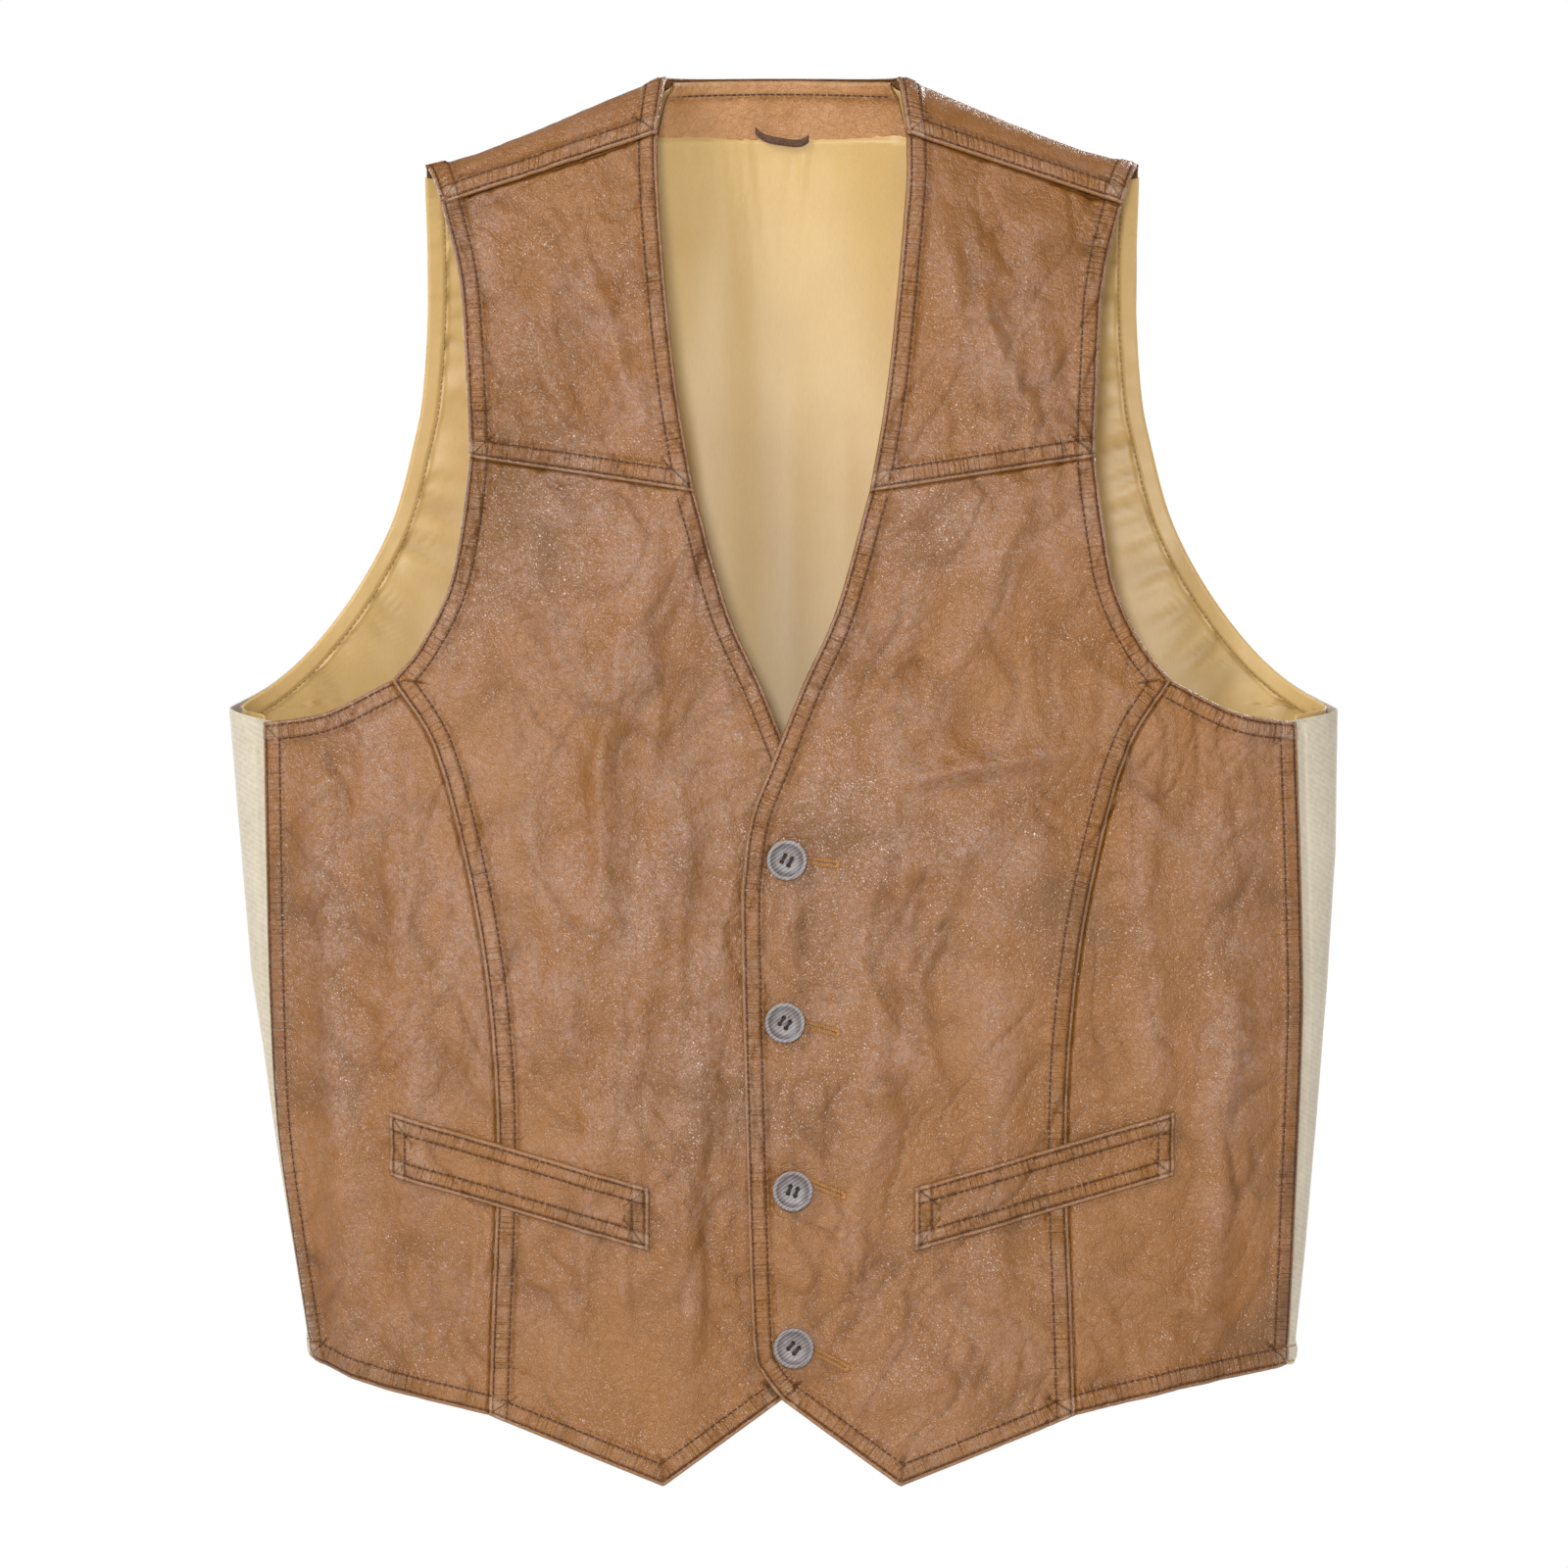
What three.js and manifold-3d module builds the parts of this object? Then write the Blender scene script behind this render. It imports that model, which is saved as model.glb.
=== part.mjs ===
// Leather-front waistcoat, buttoned, as it hangs: fronts, back, linings, pockets, buttons and cinch.
// Millimetres, +Z up, the front faces -Y, +X is the wearer's left. The origin is the middle of the
// shoulder line, where a coat hanger's hook rises. Outlines are [distance from the centre line, height].
import * as THREE from "three";
import { mergeVertices } from "three/addons/utils/BufferGeometryUtils.js";
import Module from "manifold-3d";

const wasm = await Module();
wasm.setup();

// Body of the garment
const halfDepth = 42; // centre plane to the outside of the chest
const shoulderDrop = 200; // height over which the depth grows from the shoulder fold
const neckHalfWidth = 53;
const neckArch = 44; // rise of the shoulder line that the back neck would have at the centre
const sideRoundness = 3; // power of the cross-section's flattened oval

// Cloth and leather thickness, and where each layer lies below the outer surface
const leatherThick = 1.2;
const clothThick = 0.7;
const interfacingDepth = [1.5, 1.8];
const pocketBagDepth = [1.5, 2.9];
const facingDepth = [2.2, 2.9];
const liningDepth = [3.3, 3.7];
const backLiningDepth = [5, 5.4];
const neckFacingDepth = [2.9, 3.7];
const weltDepth = [-1.8, -0.3];
const strapDepth = [-1.6, -0.4];
const seamGap = 0.5;

// Front outlines, from the top of each curve downwards
const shoulderRidge = { inner: [57, -26], outer: [155, -58] };
const neckEdge = [[57, -26], [56, -56], [51, -113], [46, -153], [39.5, -190]];
const frontEdge = [
  [39.5, -190], [24.5, -243], [9, -278], [-5, -313], [-14.2, -337], [-17.8, -362], [-18.6, -388],
  [-16, -500], [-13.3, -575], [-9, -589], [0, -601],
];
const armholeUpper = [[155, -58], [147, -91], [144, -125], [142, -174]];
const armholeLower = [[142, -174], [146, -207], [152, -235], [164, -259], [177, -275]];
const armholeSide = [[177, -275], [207, -289.5], [234, -294]];
const princessSeam = [[177, -275], [157, -308], [140, -373], [132, -430], [129.5, -495], [133, -608]];
const hemPoint = [53.5, -640];
const frontHem = [[0, -601], [53.5, -640], [133, -608]];
const sideHem = [[133, -608], [180, -597]];
const sideSeam = {
  left: [[234, -294], [237, -394], [237, -436], [233.5, -520], [230, -587]],
  right: [[236, -294], [234, -403], [231, -466], [226, -508], [214, -584]],
};

// Side silhouette: half width against height, and the shoulder fold
const halfWidths = {
  left: [[254, -285], [253, -352], [249, -415], [244, -478], [238.5, -541], [232, -600]],
  right: [[252.5, -290], [242.5, -408], [237, -443], [232.5, -476], [227.5, -508], [212.5, -600]],
};
const shoulderFold = [[53, 1], [69, -5], [104, -20], [138, -33], [166, -40], [260, -70]];

// Back outlines
const backArmhole = [
  [163, -40], [162, -96], [164.5, -140], [169, -165], [178.5, -200], [194, -230], [214, -257], [253, -287],
];
const yokeLine = -118; // height of the back yoke's lower seam
const yokeSeamHalf = 163;
const backHem = -590;
const centreTurn = 0.003; // degrees that each back panel stands off the centre seam
const neckFacingHeight = 25;

// Pockets, buttons, loop and cinch
const welt = { inner: [60, -519], outer: [178, -485], height: 29 };
const pocketBag = { inner: [66, -551], outer: [172, -520], height: 46 };
const interfacingWidth = 42;
const facingWidth = 50;
const lapDrop = 3.4; // the under front lies this far behind the top front
const buttonSpots = [[2.2, -356.5], [1.3, -430], [4.9, -506], [5.3, -577]];
const button = { radius: 9, thick: 3.4, lift: 1.9, rim: 1.7, hole: 1.1, holeSpacing: 2.4 };
const shankRadius = 1;
const strandRadius = 0.55;
const buttonhole = { from: -1.7, length: 25.5, width: 2.8, border: 1.4, thick: 0.5 };
const loop = { halfWidth: 12.5, band: 3.2, drop: 6.4, thick: 0.9, depth: [6.6, 7.5] };
const cinch = { height: -452, width: 20, from: 205, to: 5 };
const buckle = { width: 34, height: 27, bar: 3.2, thick: 2.2, lift: 2.1 };

const colours = {
  leather: [0xad7444, 0.46],
  satin: [0xd6b886, 0.38],
  cloth: [0xcec7b6, 0.85],
  horn: [0x6f625d, 0.35],
  thread: [0x6b4023, 0.8],
  metal: [0x9a9184, 0.35],
};

const vest = new THREE.Group();

// --- helpers -------------------------------------------------------------------------------------

const mix = (a, b, t) => a + (b - a) * t;

function smooth(t) {
  const c = Math.min(1, Math.max(0, t));
  return c * c * (3 - 2 * c);
}

// Value at a height or distance, along straight stretches between [value, key] points with falling keys.
function along(points, key) {
  const last = points.length - 1;
  if (key >= points[0][1]) return points[0][0];
  for (let i = 0; i < last; i += 1) {
    const [a, ka] = points[i];
    const [b, kb] = points[i + 1];
    if (key >= kb) return mix(a, b, (ka - key) / (ka - kb));
  }
  return points[last][0];
}

function foldHeight(x) {
  const d = Math.abs(x);
  if (d <= neckHalfWidth) return 1 + neckArch * (1 - (d / neckHalfWidth) ** 2);
  const flipped = shoulderFold.map(([at, z]) => [z, -at]);
  return along(flipped, -d);
}

const sideOf = (x) => (x >= 0 ? "left" : "right");

// Point on the garment's outside. turn is 90 at the centre back, 0 and 180 at the sides, 270 at the front.
function skinAtTurn(turn, z) {
  const a = THREE.MathUtils.degToRad(turn);
  const c = Math.cos(a);
  const w = along(halfWidths[sideOf(c)], z);
  const x = Math.sign(c) * w * Math.abs(c) ** (2 / sideRoundness);
  return new THREE.Vector3(x, Math.sin(a) * halfDepth * drape(x, z), z);
}

// How far the depth has grown below the shoulder fold, 0 at the fold and 1 from shoulderDrop down.
function drape(x, z) {
  const d = Math.min(1, Math.max(0, (foldHeight(x) - z) / shoulderDrop));
  return Math.sqrt(1 - (1 - d) ** 2);
}

function skinAt(x, z, back) {
  const w = along(halfWidths[sideOf(x)], z);
  const across = Math.sqrt(Math.max(0, 1 - Math.min(1, Math.abs(x) / w) ** sideRoundness));
  const y = halfDepth * across * drape(x, z);
  return new THREE.Vector3(x, back ? y : -y, z);
}

// Over the shoulder: roll is 0 at the fold, positive down the back and negative down the front.
function skinOverShoulder(x, roll) {
  const across = Math.sqrt(1 - (Math.abs(x) / halfWidths.left[0][0]) ** sideRoundness);
  const z = foldHeight(x) - shoulderDrop * (1 - Math.cos(roll));
  return new THREE.Vector3(x, halfDepth * across * Math.sin(roll), z);
}

const rollFor = (x, z) => Math.acos(1 - Math.min(1, Math.max(0, (foldHeight(x) - z) / shoulderDrop)));

function turnFor(x, z) {
  const w = along(halfWidths[sideOf(x)], z);
  const a = Math.acos(Math.min(1, Math.abs(x) / w) ** (sideRoundness / 2));
  const degrees = THREE.MathUtils.radToDeg(a);
  return x >= 0 ? degrees : 180 - degrees;
}

// Outward unit normal of a surface at (p, q), by small differences, turned to face away from inside.
function outwardNormal(surface, p, q, stepP, stepQ) {
  const du = surface(p + stepP, q).sub(surface(p - stepP, q));
  const dv = surface(p, q + stepQ).sub(surface(p, q - stepQ));
  const n = du.cross(dv).normalize();
  const at = surface(p, q);
  const middle = new THREE.Vector3(at.x * 0.6, 0, Math.min(at.z, -60) - 40);
  return n.dot(at.clone().sub(middle)) < 0 ? n.negate() : n;
}

// Closed solid from an outer and an inner sheet that share their quads.
function closedSheet(outer, inner, quads) {
  const n = outer.length;
  const edges = new Map();
  const index = [];
  for (const [a, b, c, d] of quads) {
    index.push(a, b, c, a, c, d, n + a, n + c, n + b, n + a, n + d, n + c);
    for (const [p, q] of [[a, b], [b, c], [c, d], [d, a]]) {
      if (edges.has(`${q},${p}`)) edges.delete(`${q},${p}`);
      else edges.set(`${p},${q}`, [p, q]);
    }
  }
  for (const [p, q] of edges.values()) index.push(q, p, n + p, q, n + p, n + q);
  const geometry = new THREE.BufferGeometry().setFromPoints([...outer, ...inner]);
  geometry.setIndex(index);
  return facingOut(geometry);
}

function facingOut(geometry) {
  const p = geometry.getAttribute("position");
  const index = geometry.index.array;
  const [a, b, c] = [new THREE.Vector3(), new THREE.Vector3(), new THREE.Vector3()];
  let volume = 0;
  for (let i = 0; i < index.length; i += 3) {
    a.fromBufferAttribute(p, index[i]);
    b.fromBufferAttribute(p, index[i + 1]);
    c.fromBufferAttribute(p, index[i + 2]);
    volume += a.dot(b.cross(c));
  }
  if (volume < 0) {
    for (let i = 0; i < index.length; i += 3) {
      [index[i + 1], index[i + 2]] = [index[i + 2], index[i + 1]];
    }
  }
  geometry.computeVertexNormals();
  return geometry;
}

function gridQuads(columns, rows) {
  const quads = [];
  for (let j = 0; j < rows; j += 1) {
    for (let i = 0; i < columns; i += 1) {
      const a = j * (columns + 1) + i;
      quads.push([a, a + 1, a + columns + 2, a + columns + 1]);
    }
  }
  return quads;
}

// Sheet between two depths below a surface. place(u, v) gives the surface's own two coordinates.
function layer(surface, place, columns, rows, depths, step = [0.5, 0.5]) {
  const outer = [];
  const inner = [];
  for (let j = 0; j <= rows; j += 1) {
    for (let i = 0; i <= columns; i += 1) {
      const [p, q] = place(i / columns, j / rows);
      const n = outwardNormal(surface, p, q, ...step);
      const at = surface(p, q);
      outer.push(at.clone().addScaledVector(n, -depths[0]));
      inner.push(at.clone().addScaledVector(n, -depths[1]));
    }
  }
  return closedSheet(outer, inner, gridQuads(columns, rows));
}

function curveThrough(points) {
  return new THREE.SplineCurve(points.map(([x, z]) => new THREE.Vector2(x, z)));
}

function lineThrough(points) {
  const path = new THREE.CurvePath();
  points.slice(1).forEach((p, i) => {
    path.add(new THREE.LineCurve(new THREE.Vector2(...points[i]), new THREE.Vector2(...p)));
  });
  return path;
}

// Four-sided patch between curves that meet at their corners: top and bottom run inner to outer,
// inner and outer run downwards. The edges stand back by half the seam gap.
function patch({ top, bottom, inner, outer }) {
  const width = bottom.getLength();
  const height = inner.getLength();
  const [eu, ev] = [seamGap / 2 / width, seamGap / 2 / height];
  return (u0, v0) => {
    const u = mix(eu, 1 - eu, u0);
    const v = mix(ev, 1 - ev, v0);
    const [t, b, l, r] = [top.getPointAt(u), bottom.getPointAt(u), inner.getPointAt(v), outer.getPointAt(v)];
    const corner = (a, at) => a.getPoint(at);
    const [c00, c10] = [corner(top, 0), corner(top, 1)];
    const [c01, c11] = [corner(bottom, 0), corner(bottom, 1)];
    const blend = (k) =>
      mix(t[k], b[k], v) + mix(l[k], r[k], u) - mix(mix(c00[k], c10[k], u), mix(c01[k], c11[k], u), v);
    return [blend("x"), blend("y")];
  };
}

function solidFrom(geometry) {
  const bare = geometry.clone();
  bare.deleteAttribute("normal");
  bare.deleteAttribute("uv");
  const merged = mergeVertices(bare, 1e-3);
  return new wasm.Manifold(
    new wasm.Mesh({
      numProp: 3,
      vertProperties: merged.attributes.position.array,
      triVerts: new Uint32Array(merged.index.array),
    }),
  );
}

function geometryFrom(solid) {
  const mesh = solid.getMesh();
  const geometry = new THREE.BufferGeometry();
  geometry.setAttribute("position", new THREE.BufferAttribute(mesh.vertProperties, 3));
  geometry.setIndex(new THREE.BufferAttribute(mesh.triVerts, 1));
  geometry.computeVertexNormals();
  return geometry;
}

const joined = (shapes) => geometryFrom(shapes.map(solidFrom).reduce((a, b) => a.add(b)));

const cutBy = (shape, cutters) =>
  geometryFrom(cutters.map(solidFrom).reduce((a, b) => a.subtract(b), solidFrom(shape)));

function add(name, geometry, finish) {
  const [color, roughness] = colours[finish];
  const metalness = finish === "metal" ? 1 : 0;
  const mesh = new THREE.Mesh(geometry, new THREE.MeshStandardMaterial({ color, roughness, metalness }));
  mesh.name = name;
  vest.add(mesh);
}

// --- fronts --------------------------------------------------------------------------------------

// Outside of one front: the under front sinks behind the top front where they lap.
function frontSkin(side) {
  const sign = side === "left" ? 1 : -1;
  return (d, z) => {
    const p = skinAt(sign * d, z, false);
    if (side === "right") p.y += lapDrop * smooth((60 - d) / 38);
    return p;
  };
}

function frontPatches(side) {
  const yokeSeam = lineThrough([frontEdge[0], armholeLower[0]]);
  const seam = curveThrough(sideSeam[side]);
  const hemEnd = sideSeam[side].at(-1);
  const outerEdge = new THREE.CurvePath();
  outerEdge.add(curveThrough(armholeLower));
  outerEdge.add(curveThrough(princessSeam));
  return {
    yoke: patch({
      top: lineThrough([shoulderRidge.inner, shoulderRidge.outer]),
      bottom: yokeSeam,
      inner: curveThrough(neckEdge),
      outer: curveThrough(armholeUpper),
    }),
    centre: patch({
      top: yokeSeam,
      bottom: lineThrough(frontHem),
      inner: curveThrough(frontEdge),
      outer: outerEdge,
    }),
    side: patch({
      top: curveThrough([armholeSide[0], armholeSide[1], sideSeam[side][0]]),
      bottom: lineThrough([...sideHem, hemEnd]),
      inner: curveThrough(princessSeam),
      outer: seam,
    }),
  };
}

// Strip that follows the neck and front edge, from one distance to another in from the edge.
function edgeStrip(from, to, zTop, zBottom) {
  const points = [...neckEdge, ...frontEdge.slice(1)];
  const edge = curveThrough(points);
  const samples = edge.getSpacedPoints(120);
  const byHeight = samples.map((p) => [p.x, p.y]);
  return (u, v) => {
    const z = mix(zTop, zBottom, v);
    return [along(byHeight, z) + mix(from, to, u), z];
  };
}

// Whole front inside the facing, for the lining: facing's inner edge out to armhole and side seam.
function liningPlace(side) {
  const outline = lineThrough([...armholeUpper, ...armholeLower.slice(1), ...armholeSide.slice(1, 2)]);
  const arm = outline.getSpacedPoints(60).map((p) => [p.x, p.y]);
  const seam = sideSeam[side].map(([x, z]) => [x, z]);
  const outer = [...arm, ...seam];
  const strip = edgeStrip(facingWidth - 4, facingWidth, -70, -582);
  return (u, v) => {
    const [x0, z] = strip(0, v);
    return [mix(x0, along(outer, z) - 1.5, u), z];
  };
}

// Slanted four-sided place for welts and pocket bags.
function slantedPlace({ inner, outer, height }) {
  return (u, v) => [mix(inner[0], outer[0], u), mix(inner[1], outer[1], u) - (v - 0.5) * height];
}

const frontSurfaceY = -halfDepth;

function slitCutter([x, z]) {
  const box = new THREE.BoxGeometry(buttonhole.length, 12, buttonhole.width);
  return box.translate(x + buttonhole.from + buttonhole.length / 2, frontSurfaceY, z);
}

function makeFront(side) {
  const skin = frontSkin(side);
  const { yoke, centre, side: sidePanel } = frontPatches(side);
  const slit = (geometry) => (side === "left" ? cutBy(geometry, buttonSpots.map(slitCutter)) : geometry);
  const leather = [0, leatherThick];
  add(`yoke_${side}`, layer(skin, yoke, 6, 8, leather), "leather");
  add(`centre_front_${side}`, slit(layer(skin, centre, 9, 26, leather)), "leather");
  add(`side_front_${side}`, layer(skin, sidePanel, 6, 20, leather), "leather");
  add(`welt_${side}`, layer(skin, slantedPlace(welt), 8, 2, weltDepth), "leather");
  add(`pocket_bag_${side}`, layer(skin, slantedPlace(pocketBag), 6, 3, pocketBagDepth), "cloth");
  const strip = edgeStrip(1.5, interfacingWidth, -330, -590);
  add(`interfacing_${side}`, slit(layer(skin, strip, 4, 8, interfacingDepth)), "cloth");
  const facing = edgeStrip(1, facingWidth, -40, -598);
  add(`front_facing_${side}`, slit(layer(skin, facing, 5, 20, facingDepth)), "leather");
  add(`front_lining_${side}`, layer(skin, liningPlace(side), 6, 16, liningDepth), "satin");
}

// --- back ----------------------------------------------------------------------------------------

// Leather yoke across the back, whose two ends roll over the shoulders to the front seam.
function backYoke() {
  const frontRows = 4;
  const backRows = 6;
  const shoulderColumns = 5;
  const neckColumns = 10;
  const outside = [];
  for (let i = 0; i <= shoulderColumns; i += 1) outside.push(i / shoulderColumns);
  const left = outside.map((t) => mix(-yokeSeamHalf, -neckHalfWidth, t));
  const middle = [];
  for (let i = 1; i < neckColumns; i += 1) {
    middle.push(Math.sin(mix(-0.5, 0.5, i / neckColumns) * Math.PI) * neckHalfWidth);
  }
  const right = left.map((x) => -x).reverse();
  const columns = [...left, ...middle, ...right];
  const isShoulder = (x) => Math.abs(x) >= neckHalfWidth - 1e-6;
  const outer = [];
  const inner = [];
  const ids = columns.map(() => []);
  columns.forEach((x, i) => {
    const ridgeX = mix(shoulderRidge.inner[0], shoulderRidge.outer[0], (Math.abs(x) - neckHalfWidth) / 110);
    const ridgeZ = mix(shoulderRidge.inner[1], shoulderRidge.outer[1], (Math.abs(x) - neckHalfWidth) / 110);
    const first = isShoulder(x) ? -rollFor(ridgeX, ridgeZ + seamGap) : rollFor(x, neckTop(x));
    const last = rollFor(x, yokeLine + seamGap / 2);
    for (let j = isShoulder(x) ? -frontRows : 0; j <= backRows; j += 1) {
      const roll = j < 0 ? (-j / frontRows) * first : mix(isShoulder(x) ? 0 : first, last, j / backRows);
      const at = j < 0 ? mix(x, Math.sign(x) * ridgeX, -j / frontRows) : x;
      const n = outwardNormal(skinOverShoulder, at, roll, 0.5, 0.01);
      const p = skinOverShoulder(at, roll);
      ids[i][j + frontRows] = outer.length;
      outer.push(p.clone());
      inner.push(p.clone().addScaledVector(n, -leatherThick));
    }
  });
  const quads = [];
  for (let i = 0; i < columns.length - 1; i += 1) {
    const strap = isShoulder(columns[i]) && isShoulder(columns[i + 1]);
    for (let j = strap ? 0 : frontRows; j < frontRows + backRows; j += 1) {
      quads.push([ids[i][j], ids[i + 1][j], ids[i + 1][j + 1], ids[i][j + 1]]);
    }
  }
  return closedSheet(outer, inner, quads);
}

// Height of the back neck's top edge.
function neckTop(x) {
  return mix(2.5, 1, (Math.abs(x) / neckHalfWidth) ** 2);
}

function neckFacing() {
  const place = (u, v) => {
    const x = mix(-1, 1, u) * (neckHalfWidth - 7);
    return [x, mix(neckTop(x) - 0.5, -neckFacingHeight, v)];
  };
  return layer((x, z) => skinAt(x, z, true), place, 8, 2, neckFacingDepth);
}

// Outer boundary of a back piece as turn and height: armhole, round the side, then the side seam.
function backBoundary(side, top, seamInset) {
  const sign = side === "left" ? 1 : -1;
  const arm = curveThrough(backArmhole).getSpacedPoints(60).filter((p) => p.y <= top && p.y > -285);
  const armRows = 7;
  const rows = [];
  for (let j = 0; j < armRows; j += 1) {
    const p = arm[Math.round((j * (arm.length - 1)) / (armRows - 1))];
    rows.push([turnFor(sign * p.x, p.y), p.y]);
  }
  rows[0][1] = top;
  const turnBack = (turn) => (side === "left" ? turn : 180 - turn);
  rows.push([turnBack(0), -290]);
  for (const z of [-295.5, -340, -390, -440, -490, -540, backHem + 6]) {
    const seamTurn = THREE.MathUtils.radToDeg(
      Math.acos(Math.min(0.9985, (along(sideSeam[side], z) + seamInset) / along(halfWidths[side], z)) ** 1.5),
    );
    rows.push([turnBack(-seamTurn), z]);
  }
  return rows;
}

function backPanel(side) {
  const top = yokeLine - seamGap / 2;
  const rows = backBoundary(side, top, seamGap + 0.4);
  const count = rows.length - 1;
  const centre = side === "left" ? 90 - centreTurn : 90 + centreTurn;
  const place = (u, v) => {
    const [turn, z] = rows[Math.round(v * count)];
    const spread = 1 - (1 - u) ** 1.5;
    return [mix(centre, turn, spread), mix(mix(top, backHem, v), z, smooth(u * 1.2))];
  };
  return layer(skinAtTurn, place, 13, count, [0, clothThick], [0.2, 0.5]);
}

function backLining() {
  const rightRows = backBoundary("right", -44, -1);
  const leftRows = backBoundary("left", -44, -1);
  const count = leftRows.length - 1;
  const place = (u, v) => {
    const j = Math.round(v * count);
    const [leftTurn, leftZ] = leftRows[j];
    const [rightTurn, rightZ] = rightRows[j];
    const turn = mix(rightTurn, leftTurn, u);
    const side = Math.abs(2 * u - 1);
    const x = skinAtTurn(turn, -100).x;
    const top = Math.abs(x) < neckHalfWidth + 4 ? -neckFacingHeight - 1.5 : foldHeight(x) - 4;
    const middle = mix(top, backHem + 4, v);
    return [turn, mix(middle, u < 0.5 ? rightZ : leftZ, smooth((side - 0.55) * 2.2))];
  };
  return layer(skinAtTurn, place, 20, count, backLiningDepth, [0.2, 0.5]);
}

// --- buttons, buttonholes, loop and cinch ----------------------------------------------------------

function cylinderAlongY(radius, fromY, toY, x, z, sides = 10) {
  const shape = new THREE.CylinderGeometry(radius, radius, toY - fromY, sides);
  return shape.translate(x, (fromY + toY) / 2, z);
}

function holeOffsets() {
  return [45, 135, 225, 315].map((degrees) => {
    const a = THREE.MathUtils.degToRad(degrees);
    return [Math.cos(a) * button.holeSpacing, Math.sin(a) * button.holeSpacing];
  });
}

function buttonAt([x, z]) {
  const { radius, thick, rim } = button;
  const profile = [
    [0, 0], [radius - 1.4, 0], [radius, 1.1], [radius, thick - 0.9], [radius - 0.8, thick],
    [radius - rim, thick], [radius - rim - 1.1, thick - 1.1], [0, thick - 1.3],
  ].map(([r, h]) => new THREE.Vector2(r, h));
  const disc = new THREE.LatheGeometry(profile, 18);
  const holes = holeOffsets().map(([dx, dz]) => cylinderAlongY(button.hole, -1, thick + 1, dx, dz, 6));
  const pierced = cutBy(disc, holes);
  pierced.rotateX(Math.PI);
  return pierced.translate(x, frontSurfaceY - button.lift, z);
}

// Thread: a shank from the under front, four legs through the button and two crossed strands over it.
function buttonThreadAt([x, z]) {
  const back = frontSurfaceY - button.lift;
  const top = back - button.thick + 1.3;
  const shank = cylinderAlongY(shankRadius, back + 0.5, frontSurfaceY + lapDrop - 0.4, 0, 0, 8);
  const plate = cylinderAlongY(button.holeSpacing + strandRadius, back + 0.3, back + 0.75, 0, 0, 8);
  const legs = holeOffsets().map(([dx, dz]) => cylinderAlongY(strandRadius, top - 0.6, back + 0.5, dx, dz, 5));
  const strands = [45, 135].map((degrees) => {
    const bar = new THREE.BoxGeometry(2 * button.holeSpacing + 1, 0.8, 1);
    return bar.rotateY(THREE.MathUtils.degToRad(degrees)).translate(0, top - 0.8, 0);
  });
  return joined([shank, plate, ...legs, ...strands]).translate(x, 0, z);
}

function buttonholeAt([x, z]) {
  const { length, width, border, thick } = buttonhole;
  const outline = new THREE.Shape();
  const [hl, hw] = [length / 2 + border, width / 2 + border];
  outline.moveTo(-hl, -hw).lineTo(hl, -hw).lineTo(hl, hw).lineTo(-hl, hw).closePath();
  const slit = new THREE.Path();
  slit.moveTo(-length / 2, -width / 2).lineTo(-length / 2, width / 2);
  slit.lineTo(length / 2, width / 2).lineTo(length / 2, -width / 2).closePath();
  outline.holes.push(slit);
  const ring = new THREE.ExtrudeGeometry(outline, { depth: thick, bevelEnabled: false });
  ring.rotateX(Math.PI / 2);
  return ring.translate(x + buttonhole.from + length / 2, frontSurfaceY - 0.3, z);
}

// Band hanging below the neck facing: its two ends are sewn, its middle bows down.
function hangerLoop() {
  const skin = (x, z) => skinAt(x, z, true);
  const place = (u, v) => {
    const t = mix(-1, 1, u);
    const sag = loop.drop * (1 - t ** 4);
    return [t * loop.halfWidth, -neckFacingHeight + 7 - sag - mix(0, loop.band, v)];
  };
  return layer(skin, place, 10, 1, loop.depth);
}

function cinchStrap(side) {
  const sign = side === "left" ? 1 : -1;
  const skin = (x, z) => skinAt(x, z, true);
  const place = (u, v) => {
    const rise = 6 * (1 - u) ** 2;
    return [sign * mix(cinch.from, cinch.to, u), cinch.height + rise + (0.5 - v) * cinch.width];
  };
  return layer(skin, place, 10, 1, strapDepth);
}

// Slider frame with a middle bar, standing off the back so that the straps pass under and over it.
function cinchBuckle() {
  const { width, height, bar, thick, lift } = buckle;
  const slotWidth = (width - 3 * bar) / 2;
  const plate = new THREE.BoxGeometry(width, thick, height);
  const slots = [-1, 1].map((sign) => {
    const slot = new THREE.BoxGeometry(slotWidth, 3 * thick, height - 2 * bar);
    return slot.translate((sign * (bar + slotWidth)) / 2, 0, 0);
  });
  return cutBy(plate, slots).translate(0, halfDepth + lift + thick / 2, cinch.height);
}

// --- assembly --------------------------------------------------------------------------------------

makeFront("left");
makeFront("right");
add("back_yoke", backYoke(), "leather");
add("back_panel_left", backPanel("left"), "cloth");
add("back_panel_right", backPanel("right"), "cloth");
add("back_lining", backLining(), "satin");
add("neck_facing", neckFacing(), "leather");
add("hanger_loop", hangerLoop(), "thread");
buttonSpots.forEach((spot, i) => {
  add(`button_${i + 1}`, buttonAt(spot), "horn");
  add(`button_thread_${i + 1}`, buttonThreadAt(spot), "thread");
  add(`buttonhole_${i + 1}`, buttonholeAt(spot), "thread");
});
for (const side of ["left", "right"]) add(`cinch_strap_${side}`, cinchStrap(side), "cloth");
add("cinch_buckle", cinchBuckle(), "metal");

export default vest;
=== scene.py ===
# Leather-front waistcoat, buttoned, hanging as if from a coat hanger.
import math

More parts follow.
